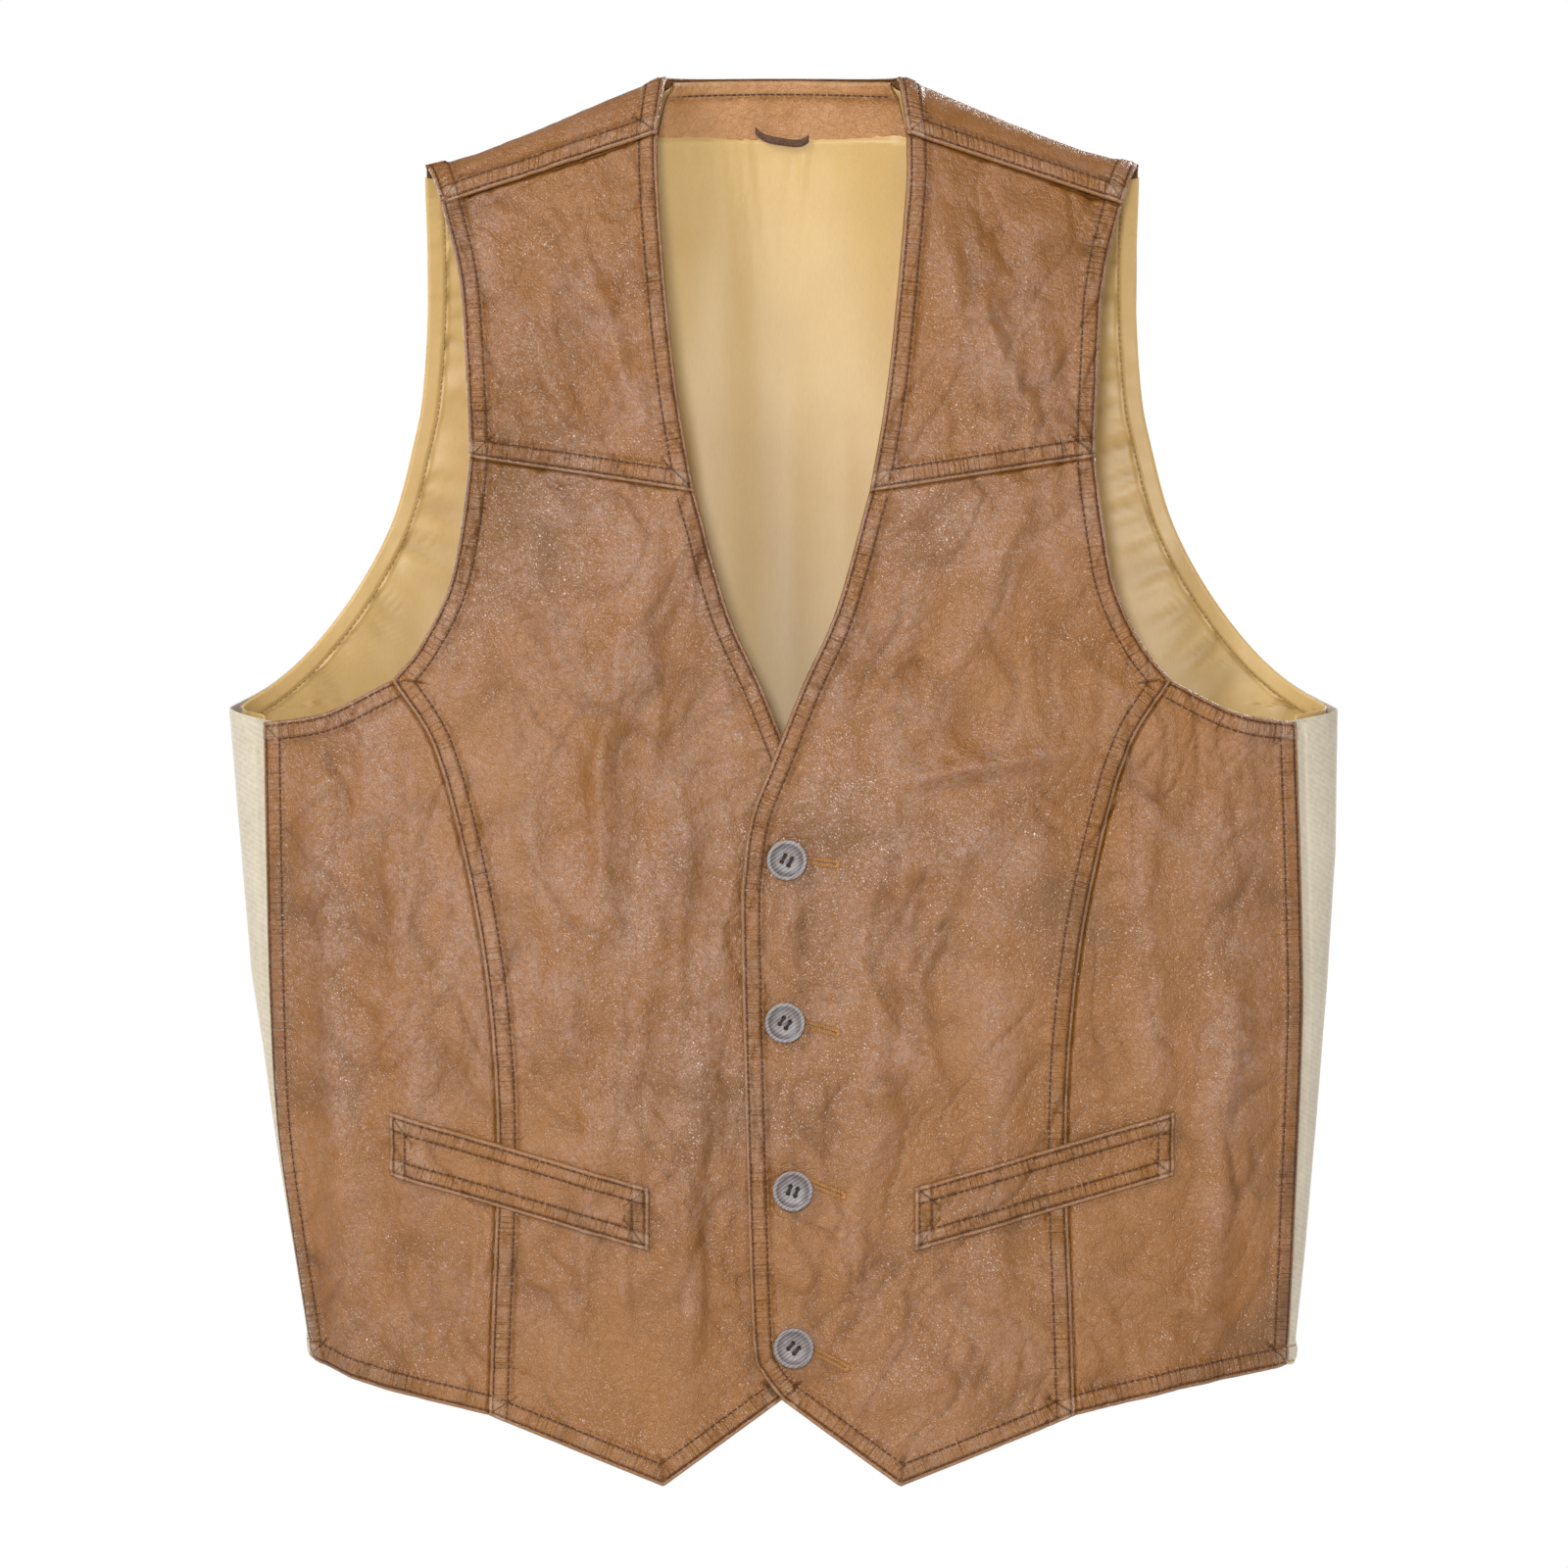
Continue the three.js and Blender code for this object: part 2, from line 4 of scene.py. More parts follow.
import bmesh
import bpy
import numpy as np
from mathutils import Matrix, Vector


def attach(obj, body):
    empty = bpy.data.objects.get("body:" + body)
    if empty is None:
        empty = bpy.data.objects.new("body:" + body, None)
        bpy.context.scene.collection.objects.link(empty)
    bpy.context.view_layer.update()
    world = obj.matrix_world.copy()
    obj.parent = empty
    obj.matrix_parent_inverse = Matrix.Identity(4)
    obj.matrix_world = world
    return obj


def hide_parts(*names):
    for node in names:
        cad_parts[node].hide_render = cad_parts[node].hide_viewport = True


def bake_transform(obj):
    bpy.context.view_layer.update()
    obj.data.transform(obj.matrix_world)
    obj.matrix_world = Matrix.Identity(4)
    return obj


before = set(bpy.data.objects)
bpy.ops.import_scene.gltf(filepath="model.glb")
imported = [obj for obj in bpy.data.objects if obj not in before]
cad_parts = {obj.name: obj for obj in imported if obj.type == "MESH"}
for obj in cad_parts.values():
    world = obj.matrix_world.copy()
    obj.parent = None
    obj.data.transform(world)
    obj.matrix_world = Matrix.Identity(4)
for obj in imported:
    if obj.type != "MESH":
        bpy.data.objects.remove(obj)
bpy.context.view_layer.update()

mm = 0.001
sides = {"left": 1, "right": -1}  # the wearer's left is +X


# Studio: camera, lights and floor

studio = {
    "frameWidth": 0.7104,  # metres seen across the picture at the front of the chest
    "distance": 4.0,
    "aim": (0.0009, -0.035, -0.322),
    "sky": 0.42,  # the sky's strength above and below a pale horizon of 1
    "floorHeight": -1.25,
    "floorRadius": 3.2,
}


def makeCamera():
    camera = bpy.data.objects.new("camera", bpy.data.cameras.new("camera"))
    bpy.context.collection.objects.link(camera)
    camera.data.sensor_width = 36
    camera.data.lens = 36 * studio["distance"] / studio["frameWidth"]
    x, y, z = studio["aim"]
    camera.location = (x, y - studio["distance"], z)
    camera.rotation_euler = (math.radians(90), 0, 0)
    camera.data.clip_end = 50
    bpy.context.scene.camera = camera


def makeLight(name, place, size, power, colour=(1, 1, 1)):
    light = bpy.data.objects.new(name, bpy.data.lights.new(name, "AREA"))
    bpy.context.collection.objects.link(light)
    light.data.shape = "DISK"
    light.data.size = size
    light.data.energy = power
    light.data.color = colour
    light.location = place
    toTarget = Vector((0, 0, -0.3)) - light.location
    light.rotation_mode = "QUATERNION"
    light.rotation_quaternion = toTarget.to_track_quat("-Z", "Y")


def makeStudio():
    makeLight("key", (-1.7, -1.8, 1.6), 1.1, 56)
    makeLight("frontBox", (-0.24, -3.9, 0.14), 0.4, 78)
    makeLight("fill", (1.9, -2.6, 0.3), 1.8, 10)
    makeLight("backKey", (1.6, 2.4, 1.4), 1.1, 60)
    makeLight("backFill", (-2.0, 2.2, 0.4), 1.8, 26)
    world = bpy.data.worlds.new("paleStudio")
    world.use_nodes = True
    tree = world.node_tree
    towards = node(tree, "ShaderNodeTexCoord").outputs["Generated"]
    height = node(tree, "ShaderNodeSeparateXYZ", {"Vector": towards}).outputs["Z"]
    level = node(tree, "ShaderNodeMath", {0: height}, operation="ABSOLUTE").outputs[0]
    glow = node(
        tree, "ShaderNodeMapRange", {"Value": level},
        {"From Min": 0.1, "From Max": 0.34, "To Min": 1.0, "To Max": studio["sky"]},
    ).outputs["Result"]
    tree.links.new(glow, tree.nodes["Background"].inputs["Strength"])
    tree.nodes["Background"].inputs["Color"].default_value = (1, 1, 1, 1)
    bpy.context.scene.world = world
    bpy.context.scene.view_settings.view_transform = "Standard"
    bpy.ops.mesh.primitive_circle_add(
        vertices=96, radius=studio["floorRadius"], fill_type="NGON",
        location=(0, 0, studio["floorHeight"]),
    )
    floor = bpy.context.object
    floor.name = "floor"
    floor.data.materials.append(plainMaterial("paleFloor", "f2f1ee", 0.8))


# Materials

def linear(hexColour):
    parts = [int(hexColour[i:i + 2], 16) / 255 for i in (0, 2, 4)]
    toLinear = [c / 12.92 if c <= 0.04045 else ((c + 0.055) / 1.055) ** 2.4 for c in parts]
    return (*toLinear, 1)


def plainMaterial(name, colour, roughness):
    material = bpy.data.materials.new(name)
    material.use_nodes = True
    shader = material.node_tree.nodes["Principled BSDF"]
    shader.inputs["Base Color"].default_value = linear(colour)
    shader.inputs["Roughness"].default_value = roughness
    return material


def node(tree, kind, links=None, values=None, **settings):
    made = tree.nodes.new(kind)
    for key, value in settings.items():
        setattr(made, key, value)
    for key, value in (values or {}).items():
        made.inputs[key].default_value = value
    for key, source in (links or {}).items():
        tree.links.new(source, made.inputs[key])
    return made


def ramp(tree, source, stops):
    made = node(tree, "ShaderNodeValToRGB", {"Fac": source})
    elements = made.color_ramp.elements
    while len(elements) < len(stops):
        elements.new(0.5)
    for element, (at, colour) in zip(elements, stops):
        element.position = at
        element.color = linear(colour) if isinstance(colour, str) else (colour, colour, colour, 1)
    return made.outputs["Color"]


def mixColour(tree, factor, a, b, how="MIX"):
    made = node(tree, "ShaderNodeMix", data_type="RGBA", blend_type=how)
    for key, value in zip((0, 6, 7), (factor, a, b)):
        if isinstance(value, (int, float, tuple)):
            made.inputs[key].default_value = value
        else:
            tree.links.new(value, made.inputs[key])
    return made.outputs[2]


def bumps(tree, layers):
    normal = None
    for height, distance, strength in layers:
        links = {"Height": height}
        if normal:
            links["Normal"] = normal
        made = node(tree, "ShaderNodeBump", links, {"Strength": strength, "Distance": distance * mm})
        normal = made.outputs["Normal"]
    return normal


def startMaterial(name, roughness, **shaderValues):
    material = bpy.data.materials.new(name)
    material.use_nodes = True
    tree = material.node_tree
    shader = tree.nodes["Principled BSDF"]
    shader.inputs["Roughness"].default_value = roughness
    for key, value in shaderValues.items():
        shader.inputs[key.replace("_", " ")].default_value = value
    place = node(tree, "ShaderNodeTexCoord").outputs["Object"]
    return material, tree, shader, place


def noiseAt(tree, place, sizeMm, detail=2.0, rough=0.5, distortion=0.0):
    made = node(
        tree, "ShaderNodeTexNoise", {"Vector": place},
        {"Scale": 1 / (sizeMm * mm), "Detail": detail, "Roughness": rough, "Distortion": distortion},
    )
    return made.outputs["Fac"]


leatherLook = {
    # the mauve-grey tint is a painted sheen, standing in for the lamps' reflection
    "dark": "63401a", "middle": "7e4f1b", "light": "8a5b28", "sheenTint": "917160",
    # the darkest brown is painted shade for creases and wrinkle lines; the pale greyish one is a painted highlight on
    # edge ridges
    "paintedShade": "4f2d0c", "ridge": "a08874",
    "gathers": 0.5,  # puckers for each millimetre of a stitched band
    "patchMm": 95, "mottleMm": 24, "grainMm": 1.25, "creaseMm": 7, "crinkleMm": 2.6,
    "wrinkleMm": 4.6,
}


# The facing is the same hide, less worn, so it has kept a lighter and warmer colour
facingLook = {
    # its mauve tint is a painted sheen, as on the outer leather
    **leatherLook, "dark": "8a5c30", "middle": "a57444", "light": "b28252", "sheenTint": "b68c66",
}


# Aniline-dyed sheep nappa: golden tan hollows and fine grain; the greyer raised patches are a painted sheen, and the
# darker creases, wrinkle lines and stitch grooves are painted shade
def tanLeather(name, look, roughness=0.29):
    material, tree, shader, place = startMaterial(name, roughness, IOR=1.5, Specular_IOR_Level=0.45)
    patches = noiseAt(tree, place, look["patchMm"], 3, 0.55, 0.4)
    mottle = noiseAt(tree, place, look["mottleMm"], 4, 0.6, 0.3)
    broad = ramp(tree, patches, [(0.28, look["dark"]), (0.45, look["middle"]), (0.7, look["light"])])
    fine = ramp(tree, mottle, [(0.25, look["dark"]), (0.5, look["middle"]), (0.75, look["light"])])
    colour = mixColour(tree, 0.4, broad, fine)
    creases = noiseAt(tree, place, look["creaseMm"], 1.5, 0.5, 0.8)
    crinkle = noiseAt(tree, place, look["crinkleMm"], 1.5, 0.5, 1.2)
    # Painted sheen: a mauve-grey tint over raised parts and the chest, broken up by mottle, crinkle and grain cells
    paintedSheen = node(tree, "ShaderNodeAttribute", attribute_name="paintedSheen").outputs["Fac"]
    cells = node(
        tree, "ShaderNodeTexVoronoi", {"Vector": place},
        {"Scale": 1 / (look["grainMm"] * mm), "Randomness": 1.0}, feature="DISTANCE_TO_EDGE",
    ).outputs["Distance"]
    cellWalls = ramp(tree, cells, [(0.0, 0.0), (0.22, 1.0)])
    sheenMask = mixColour(tree, 1.0, paintedSheen, ramp(tree, mottle, [(0.38, 0.2), (0.6, 1.0)]), "MULTIPLY")
    sheenMask = mixColour(tree, 1.0, sheenMask, ramp(tree, crinkle, [(0.4, 0.3), (0.56, 1.0)]), "MULTIPLY")
    sheenMask = mixColour(tree, 1.0, sheenMask, ramp(tree, cells, [(0.0, 0.3), (0.2, 1.0)]), "MULTIPLY")
    colour = mixColour(tree, sheenMask, colour, linear(look["sheenTint"]))
    drift = node(
        tree, "ShaderNodeTexNoise", {"Vector": place}, {"Scale": 1 / (9 * mm), "Detail": 1.0},
    ).outputs["Color"]
    drift = node(
        tree, "ShaderNodeVectorMath", {0: drift}, {"Scale": 2.5 * mm}, operation="SCALE",
    ).outputs["Vector"]
    drifted = node(tree, "ShaderNodeVectorMath", {0: place, 1: drift}, operation="ADD").outputs["Vector"]
    plates = node(
        tree, "ShaderNodeTexVoronoi", {"Vector": drifted},
        {"Scale": 1 / (look["wrinkleMm"] * mm), "Randomness": 1.0}, feature="DISTANCE_TO_EDGE",
    ).outputs["Distance"]
    wrinkles = ramp(tree, plates, [(0.0, 0.0), (0.12, 0.7), (0.35, 1.0)])
    # Painted shade: the fine wrinkle lines are darkened by 5 to 20 per cent towards the shade brown, more where the
    # mottle is high
    where = ramp(tree, mottle, [(0.4, 0.05), (0.62, 0.2)])
    wrinkleShade = mixColour(tree, wrinkles, where, linear("000000"))
    colour = mixColour(tree, wrinkleShade, colour, linear(look["paintedShade"]))
    # Painted shade: stitch grooves, pucker valleys and worn-in creases are darkened towards the shade brown
    creaseShade = node(tree, "ShaderNodeAttribute", attribute_name="creaseShade").outputs["Fac"]
    shadeInCrease = ramp(tree, creaseShade, [(0.0, 0.0), (1.0, 1.0)])
    colour = mixColour(tree, shadeInCrease, colour, linear(look["paintedShade"]))
    # Painted highlight: pucker crests and rolled edges are lightened towards the pale greyish ridge colour
    ridge = node(tree, "ShaderNodeAttribute", attribute_name="ridge").outputs["Fac"]
    ridgeHighlight = ramp(tree, ridge, [(0.0, 0.0), (1.0, 0.75)])
    colour = mixColour(tree, ridgeHighlight, colour, linear(look["ridge"]))
    tree.links.new(colour, shader.inputs["Base Color"])
    gloss = node(
        tree, "ShaderNodeMapRange", {"Value": mixColour(tree, 0.6, mottle, patches)},
        {"From Min": 0.42, "From Max": 0.6, "To Min": roughness - 0.03, "To Max": roughness + 0.12},
    ).outputs["Result"]
    tree.links.new(gloss, shader.inputs["Roughness"])
    along = node(tree, "ShaderNodeAttribute", attribute_name="along").outputs["Fac"]
    band = node(tree, "ShaderNodeAttribute", attribute_name="band").outputs["Fac"]
    gather = node(
        tree, "ShaderNodeTexNoise", {"W": along}, {"Scale": look["gathers"], "Detail": 1.0},
        noise_dimensions="1D",
    ).outputs["Fac"]
    gathers = node(tree, "ShaderNodeMath", {0: gather, 1: band}, operation="MULTIPLY").outputs[0]
    normal = bumps(tree, [
        (gathers, 1.5, 1.0), (creases, 0.6, 1.0), (wrinkles, 0.14, 1.0), (crinkle, 0.4, 1.0),
        (cellWalls, 0.11, 1.0),
    ])
    tree.links.new(normal, shader.inputs["Normal"])
    return material


# Acetate satin, woven warp-faced: smooth gold with a broad soft lustre and faint warp lines
def goldSatin():
    material, tree, shader, place = startMaterial("acetateSatin", 0.42, IOR=1.47, Sheen_Weight=0.25)
    stretched = node(tree, "ShaderNodeMapping", {"Vector": place}, {"Scale": (1, 1, 0.12)}).outputs[0]
    warp = noiseAt(tree, stretched, 0.5, 2, 0.6)
    cloud = noiseAt(tree, place, 60, 2)
    colour = ramp(tree, cloud, [(0.3, "b28f53"), (0.7, "bd9d61")])
    lines = ramp(tree, warp, [(0.3, "a6864f"), (0.7, "c6ab7b")])
    colour = mixColour(tree, 0.15, colour, lines)
    # Painted shade: armhole pucker valleys and stitch grooves darken the gold
    creaseShade = node(tree, "ShaderNodeAttribute", attribute_name="creaseShade").outputs["Fac"]
    tree.links.new(mixColour(tree, creaseShade, colour, linear("7d5f30")), shader.inputs["Base Color"])
    tree.links.new(bumps(tree, [(warp, 0.03, 0.3)]), shader.inputs["Normal"])
    return material


# Cotton-blend twill: matt beige with a fine diagonal rib
def beigeTwill():
    material, tree, shader, place = startMaterial("beigeTwill", 0.86, Sheen_Weight=0.2)
    turned = node(
        tree, "ShaderNodeMapping", {"Vector": place}, {"Rotation": (0, math.radians(60), 0)},
    ).outputs[0]
    rib = node(
        tree, "ShaderNodeTexWave", {"Vector": turned}, {"Scale": 1 / (1.1 * mm * 6.3), "Distortion": 0.6},
        wave_type="BANDS", bands_direction="X",
    ).outputs["Fac"]  # the 0.6 mm rib is drawn at 1.1 mm so that it shows
    cloud = noiseAt(tree, place, 45, 3)
    slub = noiseAt(tree, place, 2.5, 3)
    colour = ramp(tree, cloud, [(0.3, "aaa08c"), (0.7, "b8ae9b")])
    colour = mixColour(tree, 0.25, colour, ramp(tree, slub, [(0.35, "968b76"), (0.65, "c2baa9")]))
    colour = mixColour(tree, 0.1, colour, ramp(tree, rib, [(0.2, "8f8470"), (0.8, "c2baa9")]))
    tree.links.new(colour, shader.inputs["Base Color"])
    tree.links.new(bumps(tree, [(slub, 0.08, 0.3), (rib, 0.06, 0.4)]), shader.inputs["Normal"])
    return material


# Spun polyester thread: matt, with a twist of two plies
def threadMaterial(name, dark, light):
    material, tree, shader, place = startMaterial(name, 0.85)
    fibre = noiseAt(tree, place, 0.5, 2)
    tree.links.new(ramp(tree, fibre, [(0.35, dark), (0.65, light)]), shader.inputs["Base Color"])
    tree.links.new(bumps(tree, [(fibre, 0.08, 0.6)]), shader.inputs["Normal"])
    return material


# Horn-look polyester resin, turned and polished: smoky grey-brown with fine slanted streaks
def hornResin():
    material, tree, shader, place = startMaterial("hornResin", 0.4, IOR=1.54)
    turned = node(
        tree, "ShaderNodeMapping", {"Vector": place}, {"Rotation": (0, math.radians(35), 0)},
    ).outputs[0]
    streaks = node(
        tree, "ShaderNodeTexWave", {"Vector": turned},
        {"Scale": 1 / (0.75 * mm * 6.3), "Distortion": 2.0, "Detail": 2.0, "Detail Scale": 1.2},
        wave_type="BANDS", bands_direction="Z",
    ).outputs["Fac"]
    smoke = noiseAt(tree, place, 5, 3, 0.6, 0.6)
    base = ramp(tree, smoke, [(0.3, "453b38"), (0.55, "605858"), (0.75, "736c70")])
    lines = ramp(tree, streaks, [(0.25, "352b28"), (0.7, "787070")])
    tree.links.new(mixColour(tree, 0.45, base, lines), shader.inputs["Base Color"])
    tree.links.new(bumps(tree, [(streaks, 0.06, 0.5)]), shader.inputs["Normal"])
    return material


# Nickel-plated steel gone dull with handling
def agedNickel():
    material, tree, shader, place = startMaterial("agedNickel", 0.34, Metallic=1.0)
    tarnish = noiseAt(tree, place, 4, 4, 0.6)
    tree.links.new(ramp(tree, tarnish, [(0.35, "6e655a"), (0.65, "aaa296")]), shader.inputs["Base Color"])
    scratches = noiseAt(tree, place, 0.8, 3, 0.7)
    tree.links.new(bumps(tree, [(scratches, 0.03, 0.4)]), shader.inputs["Normal"])
    return material


# The garment's shape, in millimetres

body = {
    "halfDepth": 42, "shoulderDrop": 200, "neckHalf": 53, "neckArch": 44, "lapDrop": 3.4,
    "widths": {
        1: [(254, -285), (253, -352), (249, -415), (244, -478), (238.5, -541), (232, -600)],
        -1: [(252.5, -290), (242.5, -408), (237, -443), (232.5, -476), (227.5, -508), (212.5, -600)],
    },
    "fold": [(0, 1), (53, 1), (69, -5), (104, -20), (138, -33), (166, -40), (260, -70)],
    "midWidth": 245,
}

buttonLook = {
    "spots": [(2.2, -356.5), (1.3, -430), (4.9, -506), (5.3, -577)],
    "radius": 9, "thick": 3.4, "lift": 1.9, "rim": 1.7, "hole": 1.05, "spacing": 2.4,
}

outline = {
    "ridge": [(57, -26), (155, -58)],
    "neck": [(57, -26), (56, -56), (51, -113), (46, -153), (39.5, -190)],
    "front": [
        (39.5, -190), (24.5, -243), (9, -278), (-5, -313), (-14.2, -337), (-17.8, -362), (-18.6, -388),
        (-16, -500), (-13.3, -575), (-9, -589), (0, -601),
    ],
    "armUpper": [(155, -58), (147, -91), (144, -125), (142, -174)],
    "armLower": [(142, -174), (146, -207), (152, -235), (164, -259), (177, -275)],
    "armSide": [(177, -275), (207, -289.5)],
    "princess": [(177, -275), (157, -308), (140, -373), (132, -430), (129.5, -495), (133, -608)],
    "hem": [(0, -601), (53.5, -640), (133, -608)],
    "sideHem": [(133, -608), (180, -597)],
    "sideSeam": {
        1: [(234, -294), (237, -394), (237, -436), (233.5, -520), (230, -587)],
        -1: [(236, -294), (234, -403), (231, -466), (226, -508), (214, -584)],
    },
    "armBack": [
        (163, -40), (162, -96), (164.5, -140), (169, -165), (178.5, -200), (194, -230), (214, -257),
        (233, -275), (253, -287),
    ],
    "yokeLine": -118,
    "backHem": -590,
}


def smooth(t):
    c = np.clip(t, 0, 1)
    return c * c * (3 - 2 * c)


def alongFalling(points, key):
    values, keys = zip(*points)
    return np.interp(-np.asarray(key, float), [-k for k in keys], values)


def halfWidth(side, z):
    return np.where(np.asarray(side) > 0, alongFalling(body["widths"][1], z), alongFalling(body["widths"][-1], z))


def foldHeight(x):
    d = np.abs(x)
    at, heights = zip(*body["fold"])
    arch = body["neckArch"] * np.clip(1 - (d / body["neckHalf"]) ** 2, 0, None)
    return np.interp(d, at, heights) + arch


# The shoulder line as felt lower down, where the corner at the neck has faded
def foldBelow(x, z):
    spread = np.mean([foldHeight(x + step) for step in (-18, -12, -6, 0, 6, 12, 18)], axis=0)
    fade = smooth((-z - 5) / 50)
    return foldHeight(x) * (1 - fade) + spread * fade


def drape(x, z):
    d = np.clip((foldBelow(x, z) - z) / body["shoulderDrop"], 0, 1)
    return np.sqrt(np.clip(1 - (1 - d) ** 2, 0, None))


def arcTable():
    a = math.pi / 2 - np.linspace(0, 1, 6000) ** 1.5 * math.radians(150)
    x = body["midWidth"] * np.abs(np.cos(a)) ** (2 / 3)
    y = body["halfDepth"] * np.sin(a)
    steps = np.hypot(np.diff(x), np.diff(y))
    return np.concatenate([[0], np.cumsum(steps)]), a


arcLengths, arcTurns = arcTable()


# Distance round the garment from the centre line, for a point of the outline at x and z
def roundDistance(x, z, side):
    w = halfWidth(side, z)
    turn = np.arccos(np.clip(np.abs(x) / w, 0, 1) ** 1.5)
    s = np.interp(-turn, -arcTurns, arcLengths) * w / body["midWidth"]
    return np.sign(x) * s


# Outside of the garment at a distance round from the centre front (face -1) or the centre back (face 1)
def skin(s, z, face):
    side = np.where(s >= 0, 1, -1)
    w = halfWidth(side, z)
    turn = np.interp(np.abs(s) * body["midWidth"] / w, arcLengths, arcTurns)
    x = side * w * np.abs(np.cos(turn)) ** (2 / 3)
    y = face * body["halfDepth"] * np.sin(turn) * drape(x, z)
    return np.stack([x, y, z + 0 * x], -1)


# Shoulder line that the back yoke is laid out from, almost straight across the neck
def layoutHeight(x):
    at, heights = zip(*body["fold"])
    return np.interp(np.abs(x), at, heights) + 2.5 * np.clip(1 - (x / body["neckHalf"]) ** 2, 0, None)


rolls = np.linspace(0, 1.4, 400)
rollLengths = np.concatenate([[0], np.cumsum(np.hypot(
    body["shoulderDrop"] * np.diff(np.cos(rolls)), body["halfDepth"] * 0.9 * np.diff(np.sin(rolls))))])


# Over the shoulder: t is the distance down the back from the fold, negative down the front
def shoulderSkin(x, t):
    roll = np.interp(np.abs(t), rollLengths, rolls)
    across = np.sqrt(1 - (np.abs(x) / body["widths"][1][0][0]) ** 3)
    z = layoutHeight(x) - body["shoulderDrop"] * (1 - np.cos(roll))
    return np.stack([x + 0 * t, np.sign(t) * body["halfDepth"] * across * drape(x, z), z], -1)


def shoulderDistance(x, z):
    roll = np.arccos(np.clip(1 - (layoutHeight(x) - z) / body["shoulderDrop"], -1, 1))
    return np.interp(roll, rolls, rollLengths)


def frontSkin(side):
    sign = sides[side]

    def place(d, z):
        p = skin(sign * d, z, -1)
        if side == "right":
            p[..., 1] += body["lapDrop"] * smooth((60 - d) / 38)
        return p

    return place


def backSkin(s, z):
    return skin(s, z, 1)


def unitNormals(place, p, q):
    step = 0.4
    du = place(p + step, q) - place(p - step, q)
    dv = place(p, q + step) - place(p, q - step)
    n = np.cross(du, dv)
    n /= np.linalg.norm(n, axis=-1, keepdims=True) + 1e-12
    at = place(p, q)
    middle = np.stack([at[..., 0] * 0.6, 0 * at[..., 1], np.minimum(at[..., 2], -60) - 40], -1)
    away = np.sum(n * (at - middle), -1, keepdims=True)
    return np.where(away < 0, -n, n)


# Soft noise on a seeded lattice, about -1 to 1
def softNoise(u, v, seed):
    table = np.random.RandomState(seed).rand(256, 256) * 2 - 1
    iu, iv = np.floor(u).astype(int), np.floor(v).astype(int)
    fu, fv = u - iu, v - iv
    fu, fv = fu * fu * (3 - 2 * fu), fv * fv * (3 - 2 * fv)
    get = lambda a, b: table[a % 256, b % 256]
    low = get(iu, iv) * (1 - fu) + get(iu + 1, iv) * fu
    high = get(iu, iv + 1) * (1 - fu) + get(iu + 1, iv + 1) * fu
    return low * (1 - fv) + high * fv


def turned(x, z, degrees):
    a = math.radians(degrees)
    return x * math.cos(a) + z * math.sin(a), -x * math.sin(a) + z * math.cos(a)


# Long soft folds: from, to, width and height in millimetres
frontFolds = [
    ((-62, -235), (-95, -420), 11, 1.7), ((-80, -270), (-78, -390), 8, 1.1),
    ((-118, -215), (-70, -330), 9, 1.0), ((-45, -330), (-95, -560), 10, 1.4),
    ((-30, -400), (-48, -590), 8, 1.2), ((-178, -330), (-160, -520), 9, 1.2),
    ((-205, -420), (-195, -580), 8, 1.4), ((-215, -320), (-205, -400), 7, 0.9),
    ((-100, -80), (-60, -160), 8, 0.9), ((-128, -95), (-95, -165), 7, 0.8),
    ((60, -235), (48, -330), 9, 1.1), ((105, -205), (70, -300), 9, 1.2),
    ((60, -322), (112, -312), 8, 1.5), ((35, -370), (95, -345), 8, 0.9),
    ((48, -400), (30, -560), 9, 1.3), ((100, -420), (96, -560), 11, 1.0),
    ((165, -330), (172, -470), 9, 1.1), ((205, -400), (198, -560), 8, 1.1),
    ((84, -75), (112, -160), 8, 0.9), ((112, -80), (128, -160), 7, 0.8),
    ((150, -545), (200, -560), 7, 0.8), ((30, -600), (80, -590), 7, 0.8),
    ((-44, -215), (-20, -300), 4, 0.6), ((-112, -331), (-99, -415), 5, 0.8), ((-75, -251), (-83, -366), 4, 0.7),
    ((-61, -260), (-52, -366), 4, 0.6), ((-48, -322), (-44, -455), 4, 0.6), ((-106, -415), (-88, -468), 5, 0.7),
    ((-28, -331), (-26, -402), 3.5, 0.5), ((-88, -69), (-70, -153), 4, 0.6), ((90, -100), (116, -158), 4, 0.6),
    ((72, -80), (100, -160), 4.5, 0.6), ((36, -251), (90, -322), 5, 0.6), ((63, -322), (134, -309), 4.5, 0.8),
    ((-217, -522), (-190, -588), 5, 0.7), ((-190, -300), (-205, -410), 4.5, 0.6),
    ((-165, -320), (-178, -420), 4.5, 0.6), ((55, -350), (72, -470), 5, 0.6), ((88, -340), (60, -440), 5, 0.6),
    ((150, -300), (188, -360), 4.5, 0.5), ((112, -250), (160, -285), 5, 0.5), ((-60, -470), (-75, -560), 6, 0.7),
]


def foldRelief(x, z, folds):
    h = np.zeros_like(x)
    bend = softNoise(x / 40, z / 40, 3) * 5
    for (ax, az), (bx, bz), width, height in folds:
        length = math.hypot(bx - ax, bz - az)
        ux, uz = (bx - ax) / length, (bz - az) / length
        t = ((x - ax) * ux + (z - az) * uz) / length
        d = (x - ax) * -uz + (z - az) * ux + bend
        ends = smooth((t + 0.25) / 0.4) * smooth((1.25 - t) / 0.4)
        h += height * np.exp(-(d / width) ** 2) * ends
    return h


def warped(x, z):
    return x + 7 * softNoise(x / 25, z / 25, 11), z + 7 * softNoise(x / 25, z / 25, 12)


